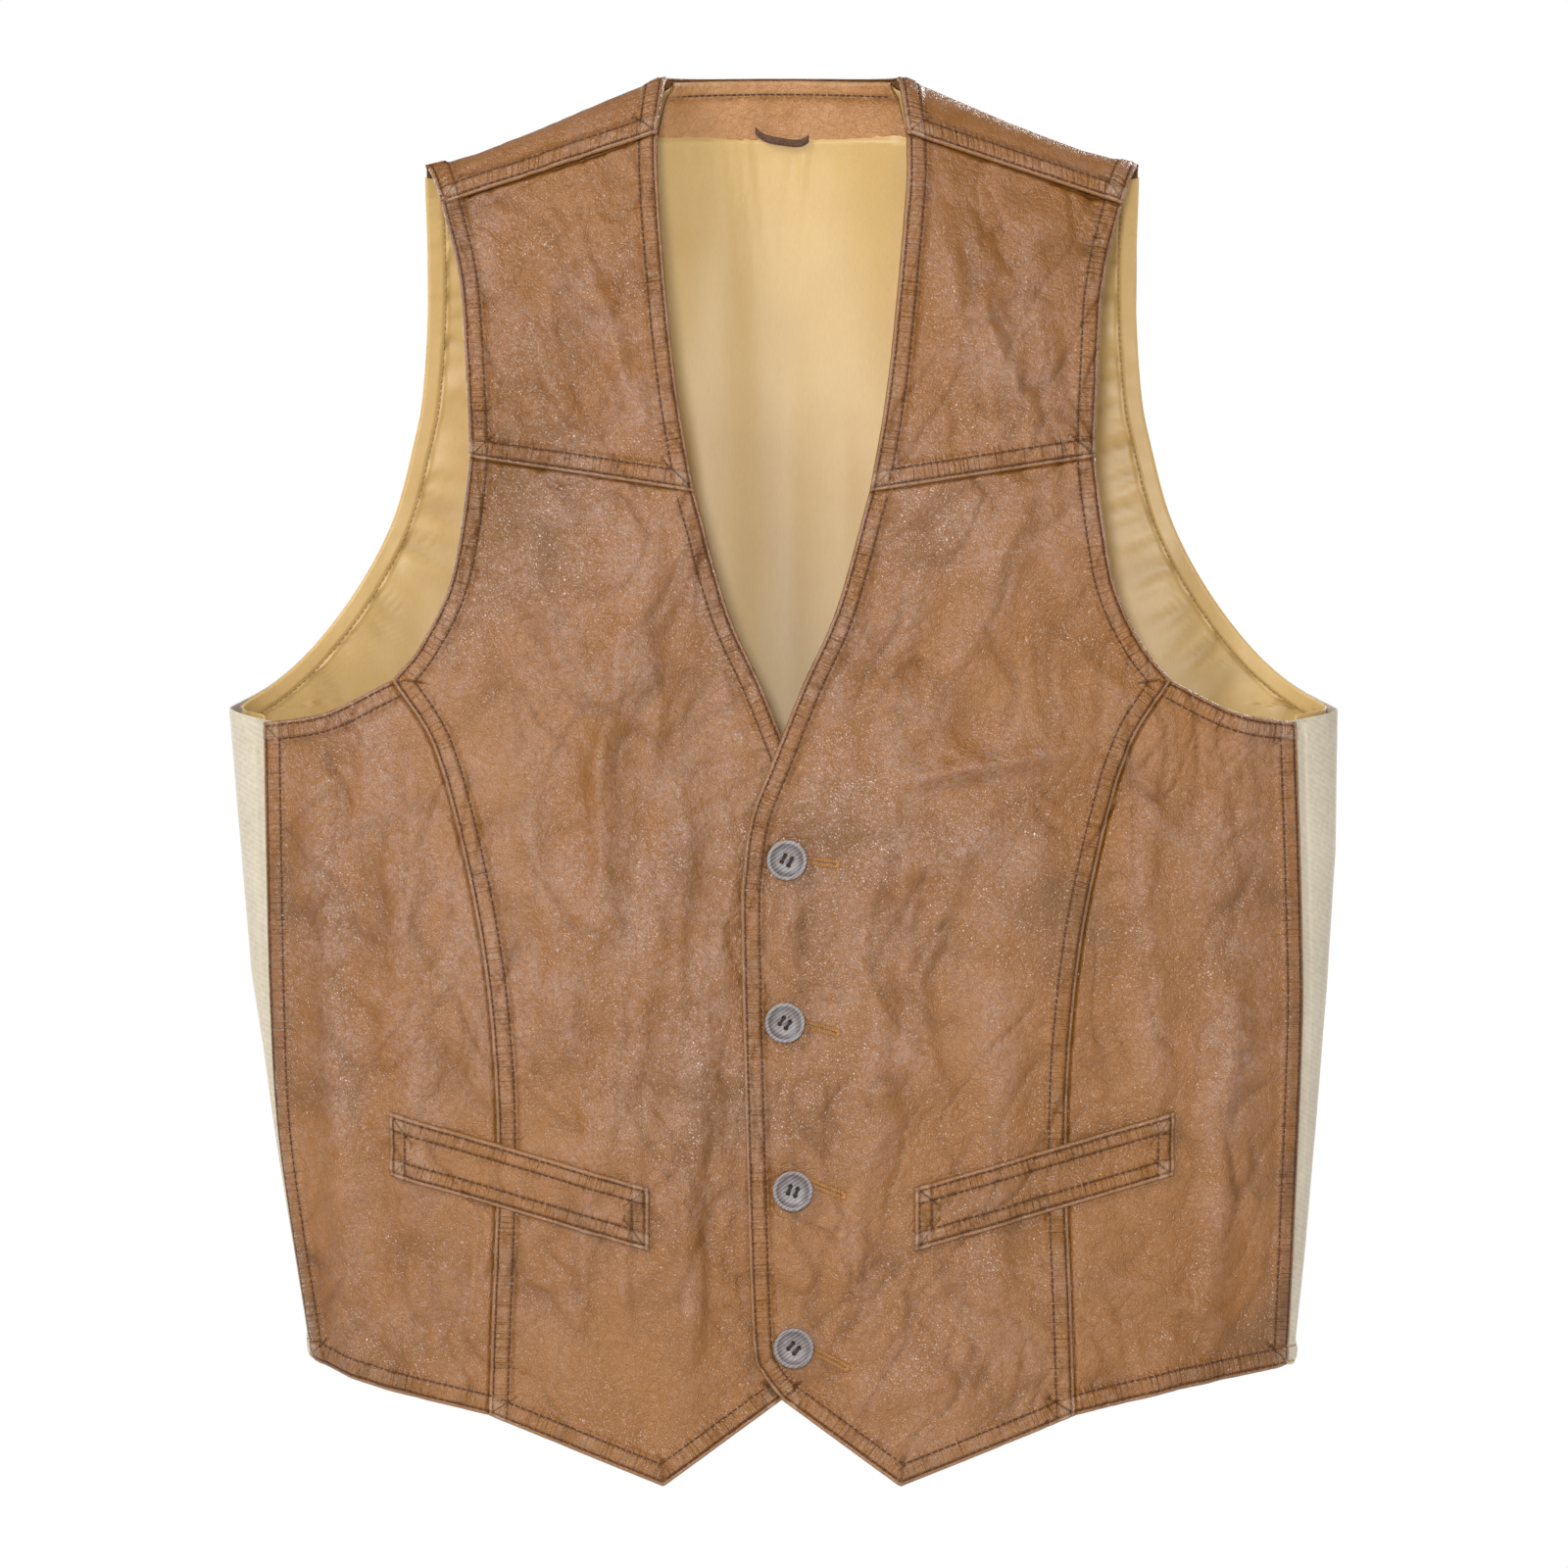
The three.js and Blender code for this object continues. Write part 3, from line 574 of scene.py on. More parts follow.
wearLines = (
    # seed, slant in degrees, length and width in millimetres, depth
    (21, 62, 46, 13, 1.3), (22, 118, 40, 12, 1.2), (23, 92, 60, 11, 1.1), (24, 35, 26, 9, 0.7),
    (25, 84, 30, 7, 0.6),
)


# Depth of the worn-in creases of the fronts
def wearCreases(x, z):
    wx, wz = warped(x, z)
    depth = np.zeros_like(x)
    for seed, degrees, along, across, height in wearLines:
        u, v = turned(wx, wz, degrees)
        line = np.clip(1 - np.abs(softNoise(u / along, v / across, seed)) * 3.4, 0, 1)
        patch = smooth(softNoise(x / 55, z / 55, seed + 10) * 1.5 + 0.5)
        depth += height * line ** 2 * patch
    return depth


# The leather and the cloth under it lie flat together at the side seams
def sideCalm(x, z):
    seam = np.where(x > 0, alongFalling(outline["sideSeam"][1], z), alongFalling(outline["sideSeam"][-1], z))
    return smooth((seam - 5 - np.abs(x)) / 22)


# Height of the leather fronts over their smooth shape: sag, folds and worn-in creases
def frontRelief(x, z):
    wx, wz = warped(x, z)
    h = 2.6 * softNoise(x / 75, z / 95, 1) + 1.6 * softNoise(wx / 28, wz / 50, 2)
    h += 2.9 * foldRelief(x, z, frontFolds) - wearCreases(x, z)
    h += 0.55 * softNoise(wx / 9, wz / 16, 40) + 0.28 * softNoise(wx / 5, wz / 8, 41)
    calm = smooth((z + 640) / 30) * smooth((-z - 20) / 30)
    h *= (0.35 + 0.65 * calm) * sideCalm(x, z)
    for bx, bz in buttonLook["spots"]:
        h *= 1 - 0.95 * np.exp(-(((x - bx) / 17) ** 2 + ((z - bz) / 15) ** 2) ** 2)
    return h


def backRelief(x, z):
    h = 1.6 * softNoise(x / 80 + 9, z / 120, 5) + 0.7 * softNoise(x / 26, z / 60, 6)
    pull = np.exp(-((z + 452) / 60) ** 2)
    h += pull * 1.6 * softNoise(x / 9, z / 130, 7) * smooth((np.abs(x) - 10) / 30)
    h -= pull * 2.2
    return h * smooth((-z - 5) / 60) * sideCalm(x, z)


def noRelief(x, z):
    return np.zeros_like(x)


# Curves, patches and edges

def splineThrough(points, perSpan=40):
    pts = np.array(points, float)
    padded = np.vstack([2 * pts[0] - pts[1], pts, 2 * pts[-1] - pts[-2]])
    out = []
    t = np.linspace(0, 1, perSpan, endpoint=False)[:, None]
    for i in range(1, len(padded) - 2):
        a, b, c, d = padded[i - 1:i + 3]
        out.append(0.5 * (2 * b + (c - a) * t + (2 * a - 5 * b + 4 * c - d) * t ** 2
                          + (3 * b - a - 3 * c + d) * t ** 3))
    return np.vstack([*out, pts[-1:]])


def straightThrough(points, perSpan=40):
    pts = np.array(points, float)
    t = np.linspace(0, 1, perSpan, endpoint=False)[:, None]
    return np.vstack([*[a + (b - a) * t for a, b in zip(pts, pts[1:])], pts[-1:]])


def unrolled(points, side):
    pts = np.array(points, float)
    out = pts.copy()
    out[:, 0] = roundDistance(pts[:, 0], pts[:, 1], side)
    return out


def lengthsAlong(curve):
    return np.concatenate([[0], np.cumsum(np.hypot(*np.diff(curve, axis=0).T))])


def atShare(curve, share):
    lengths = lengthsAlong(curve)
    want = np.asarray(share) * lengths[-1]
    return np.stack([np.interp(want, lengths, curve[:, 0]), np.interp(want, lengths, curve[:, 1])], -1)


# Shares from 0 to 1 that are close together near both ends, where seams and stitches need them
def closeAtEnds(length, fine, coarse, band):
    band = min(band, length * 0.45)
    ends = np.linspace(0, band, max(2, int(round(band / fine)) + 1))
    count = max(2, int(round((length - 2 * band) / coarse)) + 1)
    middle = np.linspace(band, length - band, count)
    return np.concatenate([ends, middle[1:-1], length - ends[::-1]]) / length


def patchGrid(curves, fine=0.75, coarse=1.7, band=12, rows=None):
    top, bottom, inner, outer = (curves[k] for k in ("top", "bottom", "inner", "outer"))
    width = max(lengthsAlong(top)[-1], lengthsAlong(bottom)[-1])
    height = max(lengthsAlong(inner)[-1], lengthsAlong(outer)[-1])
    u = closeAtEnds(width, fine, coarse, band)
    v = closeAtEnds(height, fine, coarse, band)
    if rows:
        v = rows(curves, v)
    t, b = atShare(top, u)[None], atShare(bottom, u)[None]
    l, r = atShare(inner, v)[:, None], atShare(outer, v)[:, None]
    uu, vv = u[None, :, None], v[:, None, None]
    corners = ((1 - vv) * ((1 - uu) * top[0] + uu * top[-1]) + vv * ((1 - uu) * bottom[0] + uu * bottom[-1]))
    return (1 - vv) * t + vv * b + (1 - uu) * l + uu * r - corners


# Extra rows or columns that run on under a lapping neighbour
def tuckUnder(grid, edge, reach=4.0):
    g = {"inner": grid, "outer": grid[:, ::-1], "top": grid.transpose(1, 0, 2),
         "bottom": grid[::-1].transpose(1, 0, 2)}[edge]
    out = g[:, 0] - g[:, 1]
    out /= np.linalg.norm(out, axis=-1, keepdims=True)
    extra = [g[:, 0] + out * d for d in (reach, reach * 0.55, 1.2, 0.5)]
    g = np.concatenate([np.stack(extra, 1), g], 1)
    return {"inner": g, "outer": g[:, ::-1], "top": g.transpose(1, 0, 2),
            "bottom": g.transpose(1, 0, 2)[::-1]}[edge]


# Distance from each point to a curve, and how far along the curve the nearest place is
def nearestOn(curve, points):
    dense = atShare(curve, np.linspace(0, 1, max(8, int(lengthsAlong(curve)[-1] / 1.0))))
    along = lengthsAlong(dense)
    flat = points.reshape(-1, 2)
    distance = np.empty(len(flat))
    where = np.empty(len(flat))
    a, ab = dense[:-1], np.diff(dense, axis=0)
    for start in range(0, len(flat), 4000):
        p = flat[start:start + 4000, None]
        t = np.clip(np.sum((p - a) * ab, -1) / np.sum(ab * ab, -1), 0, 1)
        gap = np.linalg.norm(p - a - ab * t[..., None], axis=-1)
        i = gap.argmin(1)
        rows = np.arange(len(p))
        distance[start:start + 4000] = gap[rows, i]
        where[start:start + 4000] = along[i] + t[rows, i] * np.linalg.norm(ab[i], axis=-1)
    return distance.reshape(points.shape[:-1]), where.reshape(points.shape[:-1])


stitchShape = {"length": 2.35, "pitch": 3.0, "width": 0.78, "height": 0.5, "sink": 0.1}

edgeKinds = {
    # raise: seam allowance under the stitched band; roll: radius of the turned edge; rows: stitch lines
    "free": {"raise": 0.75, "roll": 1.3, "rows": (1.9, 8.4)},
    "over": {"raise": 1.0, "roll": 1.1, "rows": (1.9, 8.6)},
    "welt": {"raise": 0.5, "roll": 1.2, "rows": (2.2, 7.8)},
    "hem": {"raise": 0.8, "roll": 1.3, "rows": (2.0, 9.0)},
    "plain": {"raise": 0.35, "roll": 0.7, "rows": ()},
    "satinArm": {"raise": 0.5, "roll": 0.9, "rows": (8.0,), "pucker": 3.4},
    "clothArm": {"raise": 0.5, "roll": 0.9, "rows": (8.0,)},
    "seam": {"raise": 0.3, "roll": 1.0, "rows": (2.2,)},
    "strap": {"raise": 0.2, "roll": 0.5, "rows": (2.0,)},
    "neck": {"raise": 0.9, "roll": 1.2, "rows": (6.0,)},
}


def stitchedEdge(kind, distance, along, seed):
    edge = edgeKinds[kind]
    pucker = edge.get("pucker", 1.0)
    rows, radius = edge["rows"], edge["roll"]
    last = rows[-1] if rows else 2.0
    lift = edge["raise"] * (1 - smooth((distance - last - 0.2) / 2.6))
    near = np.clip(1 - distance / radius, 0, 1)
    roll = -radius * (1 - np.sqrt(1 - near ** 2))
    groove = np.zeros_like(distance)
    for row in rows:
        groove = np.minimum(groove, -0.5 * np.exp(-((distance - row) / 0.62) ** 2))
    ripple = np.zeros_like(distance)
    if len(rows) > 1:
        between = smooth((distance - rows[0]) / 1.2) * smooth((rows[-1] - distance) / 1.2)
        ripple += between * (0.3 * softNoise(along / 4, distance / 9, seed) + 0.45)
    fade = np.exp(-np.clip(distance - last, 0, None) / (4.5 * pucker))
    beyond = smooth((distance - last) / 1.5) * fade
    ripple += beyond * 0.5 * pucker * softNoise(along / 3.4, distance / 24, seed + 1)
    if len(rows) == 1:
        ripple += smooth((last - distance) / 2) * 0.22 * softNoise(along / 2.6, distance / 12, seed + 2)
    # a painted highlight along the rolled edge, about 0.9 mm in
    rim = np.exp(-((distance - 0.9) / 0.7) ** 2) if rows else 0 * distance
    return lift, roll, groove, ripple, rim


# Height of a piece near its finished edges, with what its material needs to know about them: where to paint shade in
# grooves and pucker valleys, where to paint highlights on crests and rolled edges, and where the stitched bands run
def edgeHeight(grid, edges, seed):
    lift = np.zeros(grid.shape[:-1])
    roll, groove, ripple, rim, band, nearest = (lift.copy() for _ in range(6))
    alongEdge = lift.copy()
    nearest += 999
    for i, (kind, curve) in enumerate(edges):
        distance, along = nearestOn(curve, grid)
        a, b, c, d, e = stitchedEdge(kind, distance, along, seed + 7 * i)
        lift, roll, groove, rim = np.maximum(lift, a), np.minimum(roll, b), np.minimum(groove, c), np.maximum(rim, e)
        ripple += d
        rows = edgeKinds[kind]["rows"]
        if rows:
            closer = distance < nearest
            inBand = smooth((distance - rows[0] + 0.6) / 0.9) * smooth((rows[-1] + 4.5 - distance) / 5)
            alongEdge = np.where(closer, along + 50 * i, alongEdge)
            band = np.where(closer, inBand, band)
            nearest = np.minimum(nearest, distance)
    facts = {
        # The first of these is painted shade in stitch grooves and pucker valleys, the second a painted highlight on
        # pucker crests and rolled edges
        "creaseShade": np.clip(-groove + np.clip(-ripple, 0, 2) * 0.45, 0, 1) * 0.9,
        "ridge": np.clip((ripple - 0.45) * 0.8 + rim * 0.7, 0, 1),
        "along": alongEdge, "band": band,
    }
    return lift + roll + groove + ripple, facts


# Meshes

def meshObject(name, vertices, faces, attributes=None):
    mesh = bpy.data.meshes.new(name)
    mesh.from_pydata((np.asarray(vertices) * mm).tolist(), [], faces)
    mesh.update()
    obj = bpy.data.objects.new(name, mesh)
    bpy.context.collection.objects.link(obj)
    for key, values in (attributes or {}).items():
        layer = mesh.attributes.new(key, "FLOAT", "POINT")
        layer.data.foreach_set("value", np.asarray(values, np.float32))
    mesh.polygons.foreach_set("use_smooth", [True] * len(mesh.polygons))
    return obj


def volumeOf(vertices, quads):
    v = np.asarray(vertices)
    q = np.array(quads)
    a, b, c, d = (v[q[:, k]] for k in range(4))
    return np.sum(np.einsum("ij,ij->i", a, np.cross(b, c)) + np.einsum("ij,ij->i", a, np.cross(c, d)))


# Closed sheet from outer and inner points on one grid; quads that keep leaves out are open
def closedSheet(name, outer, inner, keep=None, attributes=None):
    rows, columns = outer.shape[:2]
    ids = np.arange(rows * columns).reshape(rows, columns)
    quads = np.stack([ids[:-1, :-1], ids[:-1, 1:], ids[1:, 1:], ids[1:, :-1]], -1)
    quads = quads[keep] if keep is not None else quads.reshape(-1, 4)
    quads = quads.reshape(-1, 4)
    n = rows * columns
    edges = np.concatenate([quads[:, [k, (k + 1) % 4]] for k in range(4)])
    key = edges[:, 0] * n + edges[:, 1]
    other = edges[:, 1] * n + edges[:, 0]
    rim = edges[~np.isin(key, other)]
    walls = np.stack([rim[:, 1], rim[:, 0], rim[:, 0] + n, rim[:, 1] + n], -1)
    faces = np.concatenate([quads, quads[:, ::-1] + n, walls])
    vertices = np.concatenate([outer.reshape(-1, 3), inner.reshape(-1, 3)])
    used = np.unique(faces)
    renumber = np.zeros(2 * n, int)
    renumber[used] = np.arange(len(used))
    faces, vertices = renumber[faces], vertices[used]
    if volumeOf(vertices, faces) < 0:
        faces = faces[:, ::-1]
    both = {k: np.concatenate([v.ravel(), v.ravel()])[used] for k, v in (attributes or {}).items()}
    return meshObject(name, vertices, faces.tolist(), both)


stitchRows = {}


# Remembers stitch lines, to be made into one thread object for each group
def rememberStitches(group, place, relief, curve, distance, inward, lift, sign, trim=()):
    dense = atShare(curve, np.linspace(0, 1, max(8, int(lengthsAlong(curve)[-1] / 1.0))))
    tangent = np.gradient(dense, axis=0)
    tangent /= np.linalg.norm(tangent, axis=1, keepdims=True) + 1e-9
    normal = np.stack([-tangent[:, 1], tangent[:, 0]], 1)
    k = len(dense) // 2
    if np.dot(normal[k], np.asarray(inward) - dense[k]) < 0:
        normal = -normal
    row = dense + normal * distance
    ok = nearestOn(curve, row)[0] > distance - 0.08
    for other, least in trim:
        ok &= nearestOn(other, row)[0] > least
    stitchRows.setdefault(group, []).append((place, relief, row, ok, lift, sign))


# Low round-ended pieces of thread from each start to each end, lying on the given normals
def threadPieces(name, starts, ends, normals, width, height, sink=0.12):
    rings = 5
    base = np.array([
        (along, math.cos(2 * math.pi * k / rings) * size, math.sin(2 * math.pi * k / rings) * size)
        for along, size in ((-0.5, 0.35), (-0.36, 0.85), (0.0, 1.0), (0.36, 0.85), (0.5, 0.35))
        for k in range(rings)
    ])
    pattern = [(r * rings + k, r * rings + (k + 1) % rings, (r + 1) * rings + (k + 1) % rings, (r + 1) * rings + k)
               for r in range(4) for k in range(rings)]
    caps = [tuple(range(rings))[::-1], tuple(range(4 * rings, 5 * rings))]
    along = ends - starts
    size = np.linalg.norm(along, axis=1, keepdims=True) + 1e-9
    along = along / size
    across = np.cross(normals, along) + along * np.random.RandomState(5).uniform(-0.16, 0.02, (len(starts), 1))
    across /= np.linalg.norm(across, axis=1, keepdims=True)
    out = np.cross(along, across)
    out *= np.sign(np.sum(out * normals, 1, keepdims=True))
    middle = (starts + ends) / 2 + out * (height / 2 - sink)
    points = (
        middle[:, None] + base[None, :, :1] * (along * size)[:, None]
        + base[None, :, 1:2] * across[:, None] * width / 2 + base[None, :, 2:3] * out[:, None] * height / 2
    )
    handed = np.sum(np.cross(along, across) * out, 1) > 0
    faces = []
    for i, straight in enumerate(handed):
        first = i * len(base)
        for face in pattern + caps:
            face = face[::-1] if straight else face
            faces.append(tuple(first + k for k in face))
    vertices = points.reshape(-1, 3)
    obj = meshObject(name, vertices, faces)
    return obj


def stitchesFor(group):
    starts, ends, normals = [], [], []
    for place, relief, row, ok, lift, sign in stitchRows[group]:
        lengths = lengthsAlong(row)
        count = int(lengths[-1] / stitchShape["pitch"])
        if count < 1:
            continue
        centres = (np.arange(count) + 0.5) * lengths[-1] / count
        centres = centres[np.interp(centres, lengths, ok.astype(float)) > 0.99]
        for offset, into in ((-0.5, starts), (0.5, ends)):
            s = np.clip(centres + offset * stitchShape["length"], 0, lengths[-1])
            p, q = np.interp(s, lengths, row[:, 0]), np.interp(s, lengths, row[:, 1])
            at = place(p, q)
            n = unitNormals(place, p, q) * sign
            into.append(at + n * (sign * relief(at[:, 0], at[:, 2]) + lift)[:, None])
        normals.append(n)
    obj = threadPieces(
        group, np.concatenate(starts), np.concatenate(ends), np.concatenate(normals),
        stitchShape["width"], stitchShape["height"], stitchShape["sink"],
    )
    return obj


# Sheet that lies on a skin between two depths, with stitched, plain or tucked edges.
# facing is 1 when its good side faces out of the garment, and -1 when it faces the wearer.
def makeSheet(name, place, relief, curves, edges, depths, seed, material, tucks=(), spacing=(0.75, 1.7, 12),
              group=None, facing=1, shape=None, grid=None, keep=None, cut=None):
    if grid is None:
        grid = patchGrid(curves, *spacing)
    fresh = {"inner": np.s_[:, :4], "outer": np.s_[:, -4:], "top": np.s_[:4], "bottom": np.s_[-4:]}
    for edge in tucks:
        grid = tuckUnder(grid, edge)
    kinds = [(kind, curves[edge]) for edge, kind in edges.items()]
    height, facts = edgeHeight(grid, kinds, seed)
    for edge in tucks:
        distance, _ = nearestOn(curves[edge], grid)
        beyond = np.zeros(grid.shape[:-1], bool)
        beyond[fresh[edge]] = True
        height -= 1.7 * (1 - smooth((np.where(beyond, -distance, distance) + 0.3) / 2.2))
    if shape:
        height += shape(grid[..., 0], grid[..., 1])
    at = place(grid[..., 0], grid[..., 1])
    n = unitNormals(place, grid[..., 0], grid[..., 1]) * facing
    shallow, deep = depths if facing > 0 else (-depths[1], -depths[0])
    rough = relief(at[..., 0], at[..., 2]) * facing
    outer = at + n * (rough + height - shallow)[..., None]
    inner = at + n * (rough + np.minimum(height, 0.4) - deep)[..., None]
    if cut:
        keep = cut(grid)
    # Painted shade: the worn-in creases of the fronts add to the darkened crease colour
    wornCreaseShade = wearCreases(at[..., 0], at[..., 2]) * 0.22 if relief is frontRelief else 0
    facts["creaseShade"] = np.clip(facts["creaseShade"] + wornCreaseShade, 0, 0.8)
    # Painted sheen: stronger on raised relief, and stronger over the chest than lower down
    sheenFadesDown = 1 - 0.4 * smooth((-at[..., 2] - 400) / 150)
    facts["paintedSheen"] = smooth(0.56 + rough * facing / 6) * sheenFadesDown
    obj = closedSheet(name, outer, inner, keep, facts)
    obj.data.materials.append(material)
    if group:
        centre = grid.reshape(-1, 2).mean(0)
        for edge, kind in edges.items():
            for row in edgeKinds[kind]["rows"]:
                lift = edgeKinds[kind]["raise"] - 0.32 - shallow
                others = [(curves[o], 2.2) for o in edges if o != edge]
                rememberStitches(group, place, relief, curves[edge], row, centre, lift, facing, others)
    return obj


def rideFront(obj):
    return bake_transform(obj)


def withGroups(obj, cadNode=None):
    if cadNode:
        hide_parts(cadNode)
    return obj


# Fronts

def frontCurves(side):
    sign = sides[side]
    o = outline
    u = lambda points: unrolled(points, sign)
    seam = splineThrough(u(o["sideSeam"][sign]))
    hemEnd = o["sideSeam"][sign][-1]
    yokeSeam = straightThrough(u([o["front"][0], o["armLower"][0]]))
    arm = splineThrough(u(o["armLower"]))
    princess = splineThrough(u(o["princess"]))
    return {
        "yoke": {
            "top": straightThrough(u(o["ridge"])), "bottom": yokeSeam,
            "inner": splineThrough(u(o["neck"])), "outer": splineThrough(u(o["armUpper"])),
        },
        "centre": {
            "top": yokeSeam, "bottom": straightThrough(u(o["hem"])),
            "inner": splineThrough(u(o["front"])), "outer": np.vstack([arm, princess[1:]]),
        },
        "side": {
            "top": splineThrough(u([*o["armSide"], o["sideSeam"][sign][0]])),
            "bottom": straightThrough(u([*o["sideHem"], hemEnd])),
            "inner": princess, "outer": seam,
        },
    }


frontPanels = {
    # edges: how each one is finished; tuck: the edge that runs on under its neighbour
    "yoke": {"edges": {"inner": "free", "outer": "free", "bottom": "over"}, "tuck": "top", "seed": 100,
             "node": "yoke_"},
    "centre": {"edges": {"inner": "free", "outer": "over", "bottom": "hem"}, "tuck": "top", "seed": 200,
               "node": "centre_front_"},
    "side": {"edges": {"top": "free", "outer": "over", "bottom": "hem"}, "tuck": "inner", "seed": 300,
             "node": "side_front_"},
}

buttonholeLook = {"from": -1.7, "length": 25.5, "gap": 0.16, "reach": 2.1, "pitch": 0.8}
buttonholeLines = []


# Row heights and slit rows for the buttonholes in the top front
def buttonholeRows(curves, v):
    inner, outer = atShare(curves["inner"], v), atShare(curves["outer"], v)
    z = inner[:, 1] * 0.84 + outer[:, 1] * 0.16
    height = lengthsAlong(curves["inner"])[-1]
    middles = [np.interp(-at, -z, v) for _, at in buttonLook["spots"]]
    extra = []
    for middle in middles:
        v = v[np.abs(v - middle) * height > 3.0]
        extra += [middle + step / height for step in (-2.6, -1.9, -1.3, -0.6, 0.6, 1.3, 1.9, 2.6)]
    return np.sort(np.concatenate([v, extra]))


def slitMask(grid):
    keep = np.ones((grid.shape[0] - 1, grid.shape[1] - 1), bool)
    for x, z in buttonLook["spots"]:
        start = x + buttonholeLook["from"]
        columns = (grid[..., 0] > start) & (grid[..., 0] < start + buttonholeLook["length"])
        near = np.where(columns, np.abs(grid[..., 1] - z), 99).min(1)
        row = np.argsort(near)[:2].min()
        use = np.flatnonzero(columns[row])
        keep[row, use[0]:use[-1]] = False
        buttonholeLines.append(grid[row:row + 2, use[0]:use[-1] + 1].mean(0))
    return keep


def makePanels(side, looks):
    place = frontSkin(side)
    allCurves = frontCurves(side)
    group = "topstitching_front_" + side
    for part, panel in frontPanels.items():
        curves = allCurves[part]
        isTop = part == "centre" and side == "left"
        grid = patchGrid(curves, rows=buttonholeRows) if isTop else None
        obj = makeSheet(
            part + "_leather_" + side, place, frontRelief, curves, panel["edges"], (0, 1.1), panel["seed"],
            looks["leather"], tucks=(panel["tuck"],), group=group, grid=grid, cut=slitMask if isTop else None,
        )
        withGroups(obj, panel["node"] + side)
        rideFront(obj)
    thread = stitchesFor(group)
    thread.data.materials.append(looks["thread"])
    rideFront(thread)
    print("front", side, "panels and topstitching")


pockets = {
    "welt": {"inner": (60, -519), "outer": (178, -485), "height": 29, "depths": (-2.1, -0.4)},
    "bag": {"inner": (66, -551), "outer": (172, -520), "height": 46, "depths": (1.5, 2.0)},
}


def slanted(pocket, side):
    (x0, z0), (x1, z1), half = pocket["inner"], pocket["outer"], pocket["height"] / 2
    u = lambda points: straightThrough(unrolled(points, sides[side]))
    return {
        "top": u([(x0, z0 + half), (x1, z1 + half)]), "bottom": u([(x0, z0 - half), (x1, z1 - half)]),
        "inner": u([(x0, z0 + half), (x0, z0 - half)]), "outer": u([(x1, z1 + half), (x1, z1 - half)]),
    }


# Welts are a little full between their stitch lines
def weltFullness(curves):
    def shape(s, z):
        points = np.stack([s, z], -1)
        near = np.min([nearestOn(c, points)[0] for c in curves.values()], axis=0)
        return 0.9 * smooth((near - 7.5) / 4) + 0.3 * softNoise(s / 7, z / 16, 77) * smooth((near - 7) / 3)

    return shape


def makePockets(side, looks):
    place = frontSkin(side)
    group = "topstitching_welt_" + side
    curves = slanted(pockets["welt"], side)
    welt = makeSheet(
        "welt_leather_" + side, place, frontRelief, curves, {k: "welt" for k in curves},
        pockets["welt"]["depths"], 400, looks["leather"], group=group, spacing=(0.6, 1.4, 11),
        shape=weltFullness(curves),
    )
    withGroups(welt, "welt_" + side)
    thread = stitchesFor(group)
    thread.data.materials.append(looks["thread"])
    bagCurves = slanted(pockets["bag"], side)
    bag = makeSheet(
        "pocket_cloth_" + side, place, frontRelief, bagCurves, {}, pockets["bag"]["depths"], 450,
        looks["twill"], spacing=(3, 3, 12),
    )
    withGroups(bag, "pocket_bag_" + side)
    for obj in (welt, thread, bag):
        rideFront(obj)
    print("pockets", side)


# Strip along the neck and front edge, between two distances in from it
def edgeStrip(side, near, far, zTop, zBottom):
    o = outline
    points = np.array([*o["neck"], *o["front"][1:]], float)
    edge = splineThrough(points)
    z = np.linspace(zTop, zBottom, 60)
    x = np.interp(-z, -edge[:, 1], edge[:, 0])
    line = lambda xs, zs: unrolled(np.stack([xs, zs], -1), sides[side])
    return {
        "inner": line(x + near, z), "outer": line(x + far, z),
        "top": straightThrough(line(x[0] + np.array([near, far]), z[[0, 0]])),
        "bottom": straightThrough(line(x[-1] + np.array([near, far]), z[[-1, -1]])),
    }


def frontLiningCurves(side):
    o = outline
    inner = edgeStrip(side, 46, 50, -70, -582)["inner"]
    arm = np.array([*o["armUpper"], *o["armLower"][1:], o["armSide"][1], *o["sideSeam"][sides[side]]], float)
    z = np.linspace(-70, -582, 120)
    outer = np.stack([np.interp(-z, -arm[:, 1], arm[:, 0]) - 1.5, z], -1)
    outer = unrolled(outer, sides[side])
    return {
        "inner": inner, "outer": outer,
        "top": straightThrough([inner[0], outer[0]]), "bottom": straightThrough([inner[-1], outer[-1]]),
    }


insideLayers = {
    "facing": {"depths": (2.2, 2.9), "look": "facing", "slot": "facing_leather", "node": "front_facing_",
               "edges": {"outer": "plain"}, "spacing": (1.5, 3, 8)},
    "interfacing": {"depths": (1.5, 1.8), "look": "twill", "slot": "interfacing", "node": "interfacing_",
                    "edges": {}, "spacing": (3, 3, 12)},
    "lining": {"depths": (3.3, 3.7), "look": "satin", "slot": "satin", "node": "front_lining_",
               "edges": {"outer": "plain"}, "spacing": (1.5, 3, 10)},
}


def makeInside(side, looks):
    shapes = {
        "facing": edgeStrip(side, 1.2, 50, -40, -598),
        "interfacing": edgeStrip(side, 1.5, 42, -330, -590),
        "lining": frontLiningCurves(side),
    }
    for part, curves in shapes.items():
        layer = insideLayers[part]
        obj = makeSheet(
            part + "_front_" + side, frontSkin(side), frontRelief, curves, layer["edges"], layer["depths"],
            500, looks[layer["look"]], spacing=layer["spacing"], facing=-1,
        )
        withGroups(obj, layer["node"] + side)
        rideFront(obj)
    print("front", side, "facing, interfacing and lining")


# Back

# Distance round from the centre back, past the side fold, to a point on the front
def pastSide(points, sign):
    pts = np.array(points, float)
    foldLength = np.interp(0, -arcTurns, arcLengths) * halfWidth(sign, pts[:, 1]) / body["midWidth"]
    return np.stack([2 * foldLength - roundDistance(pts[:, 0], pts[:, 1], sign), pts[:, 1]], -1)


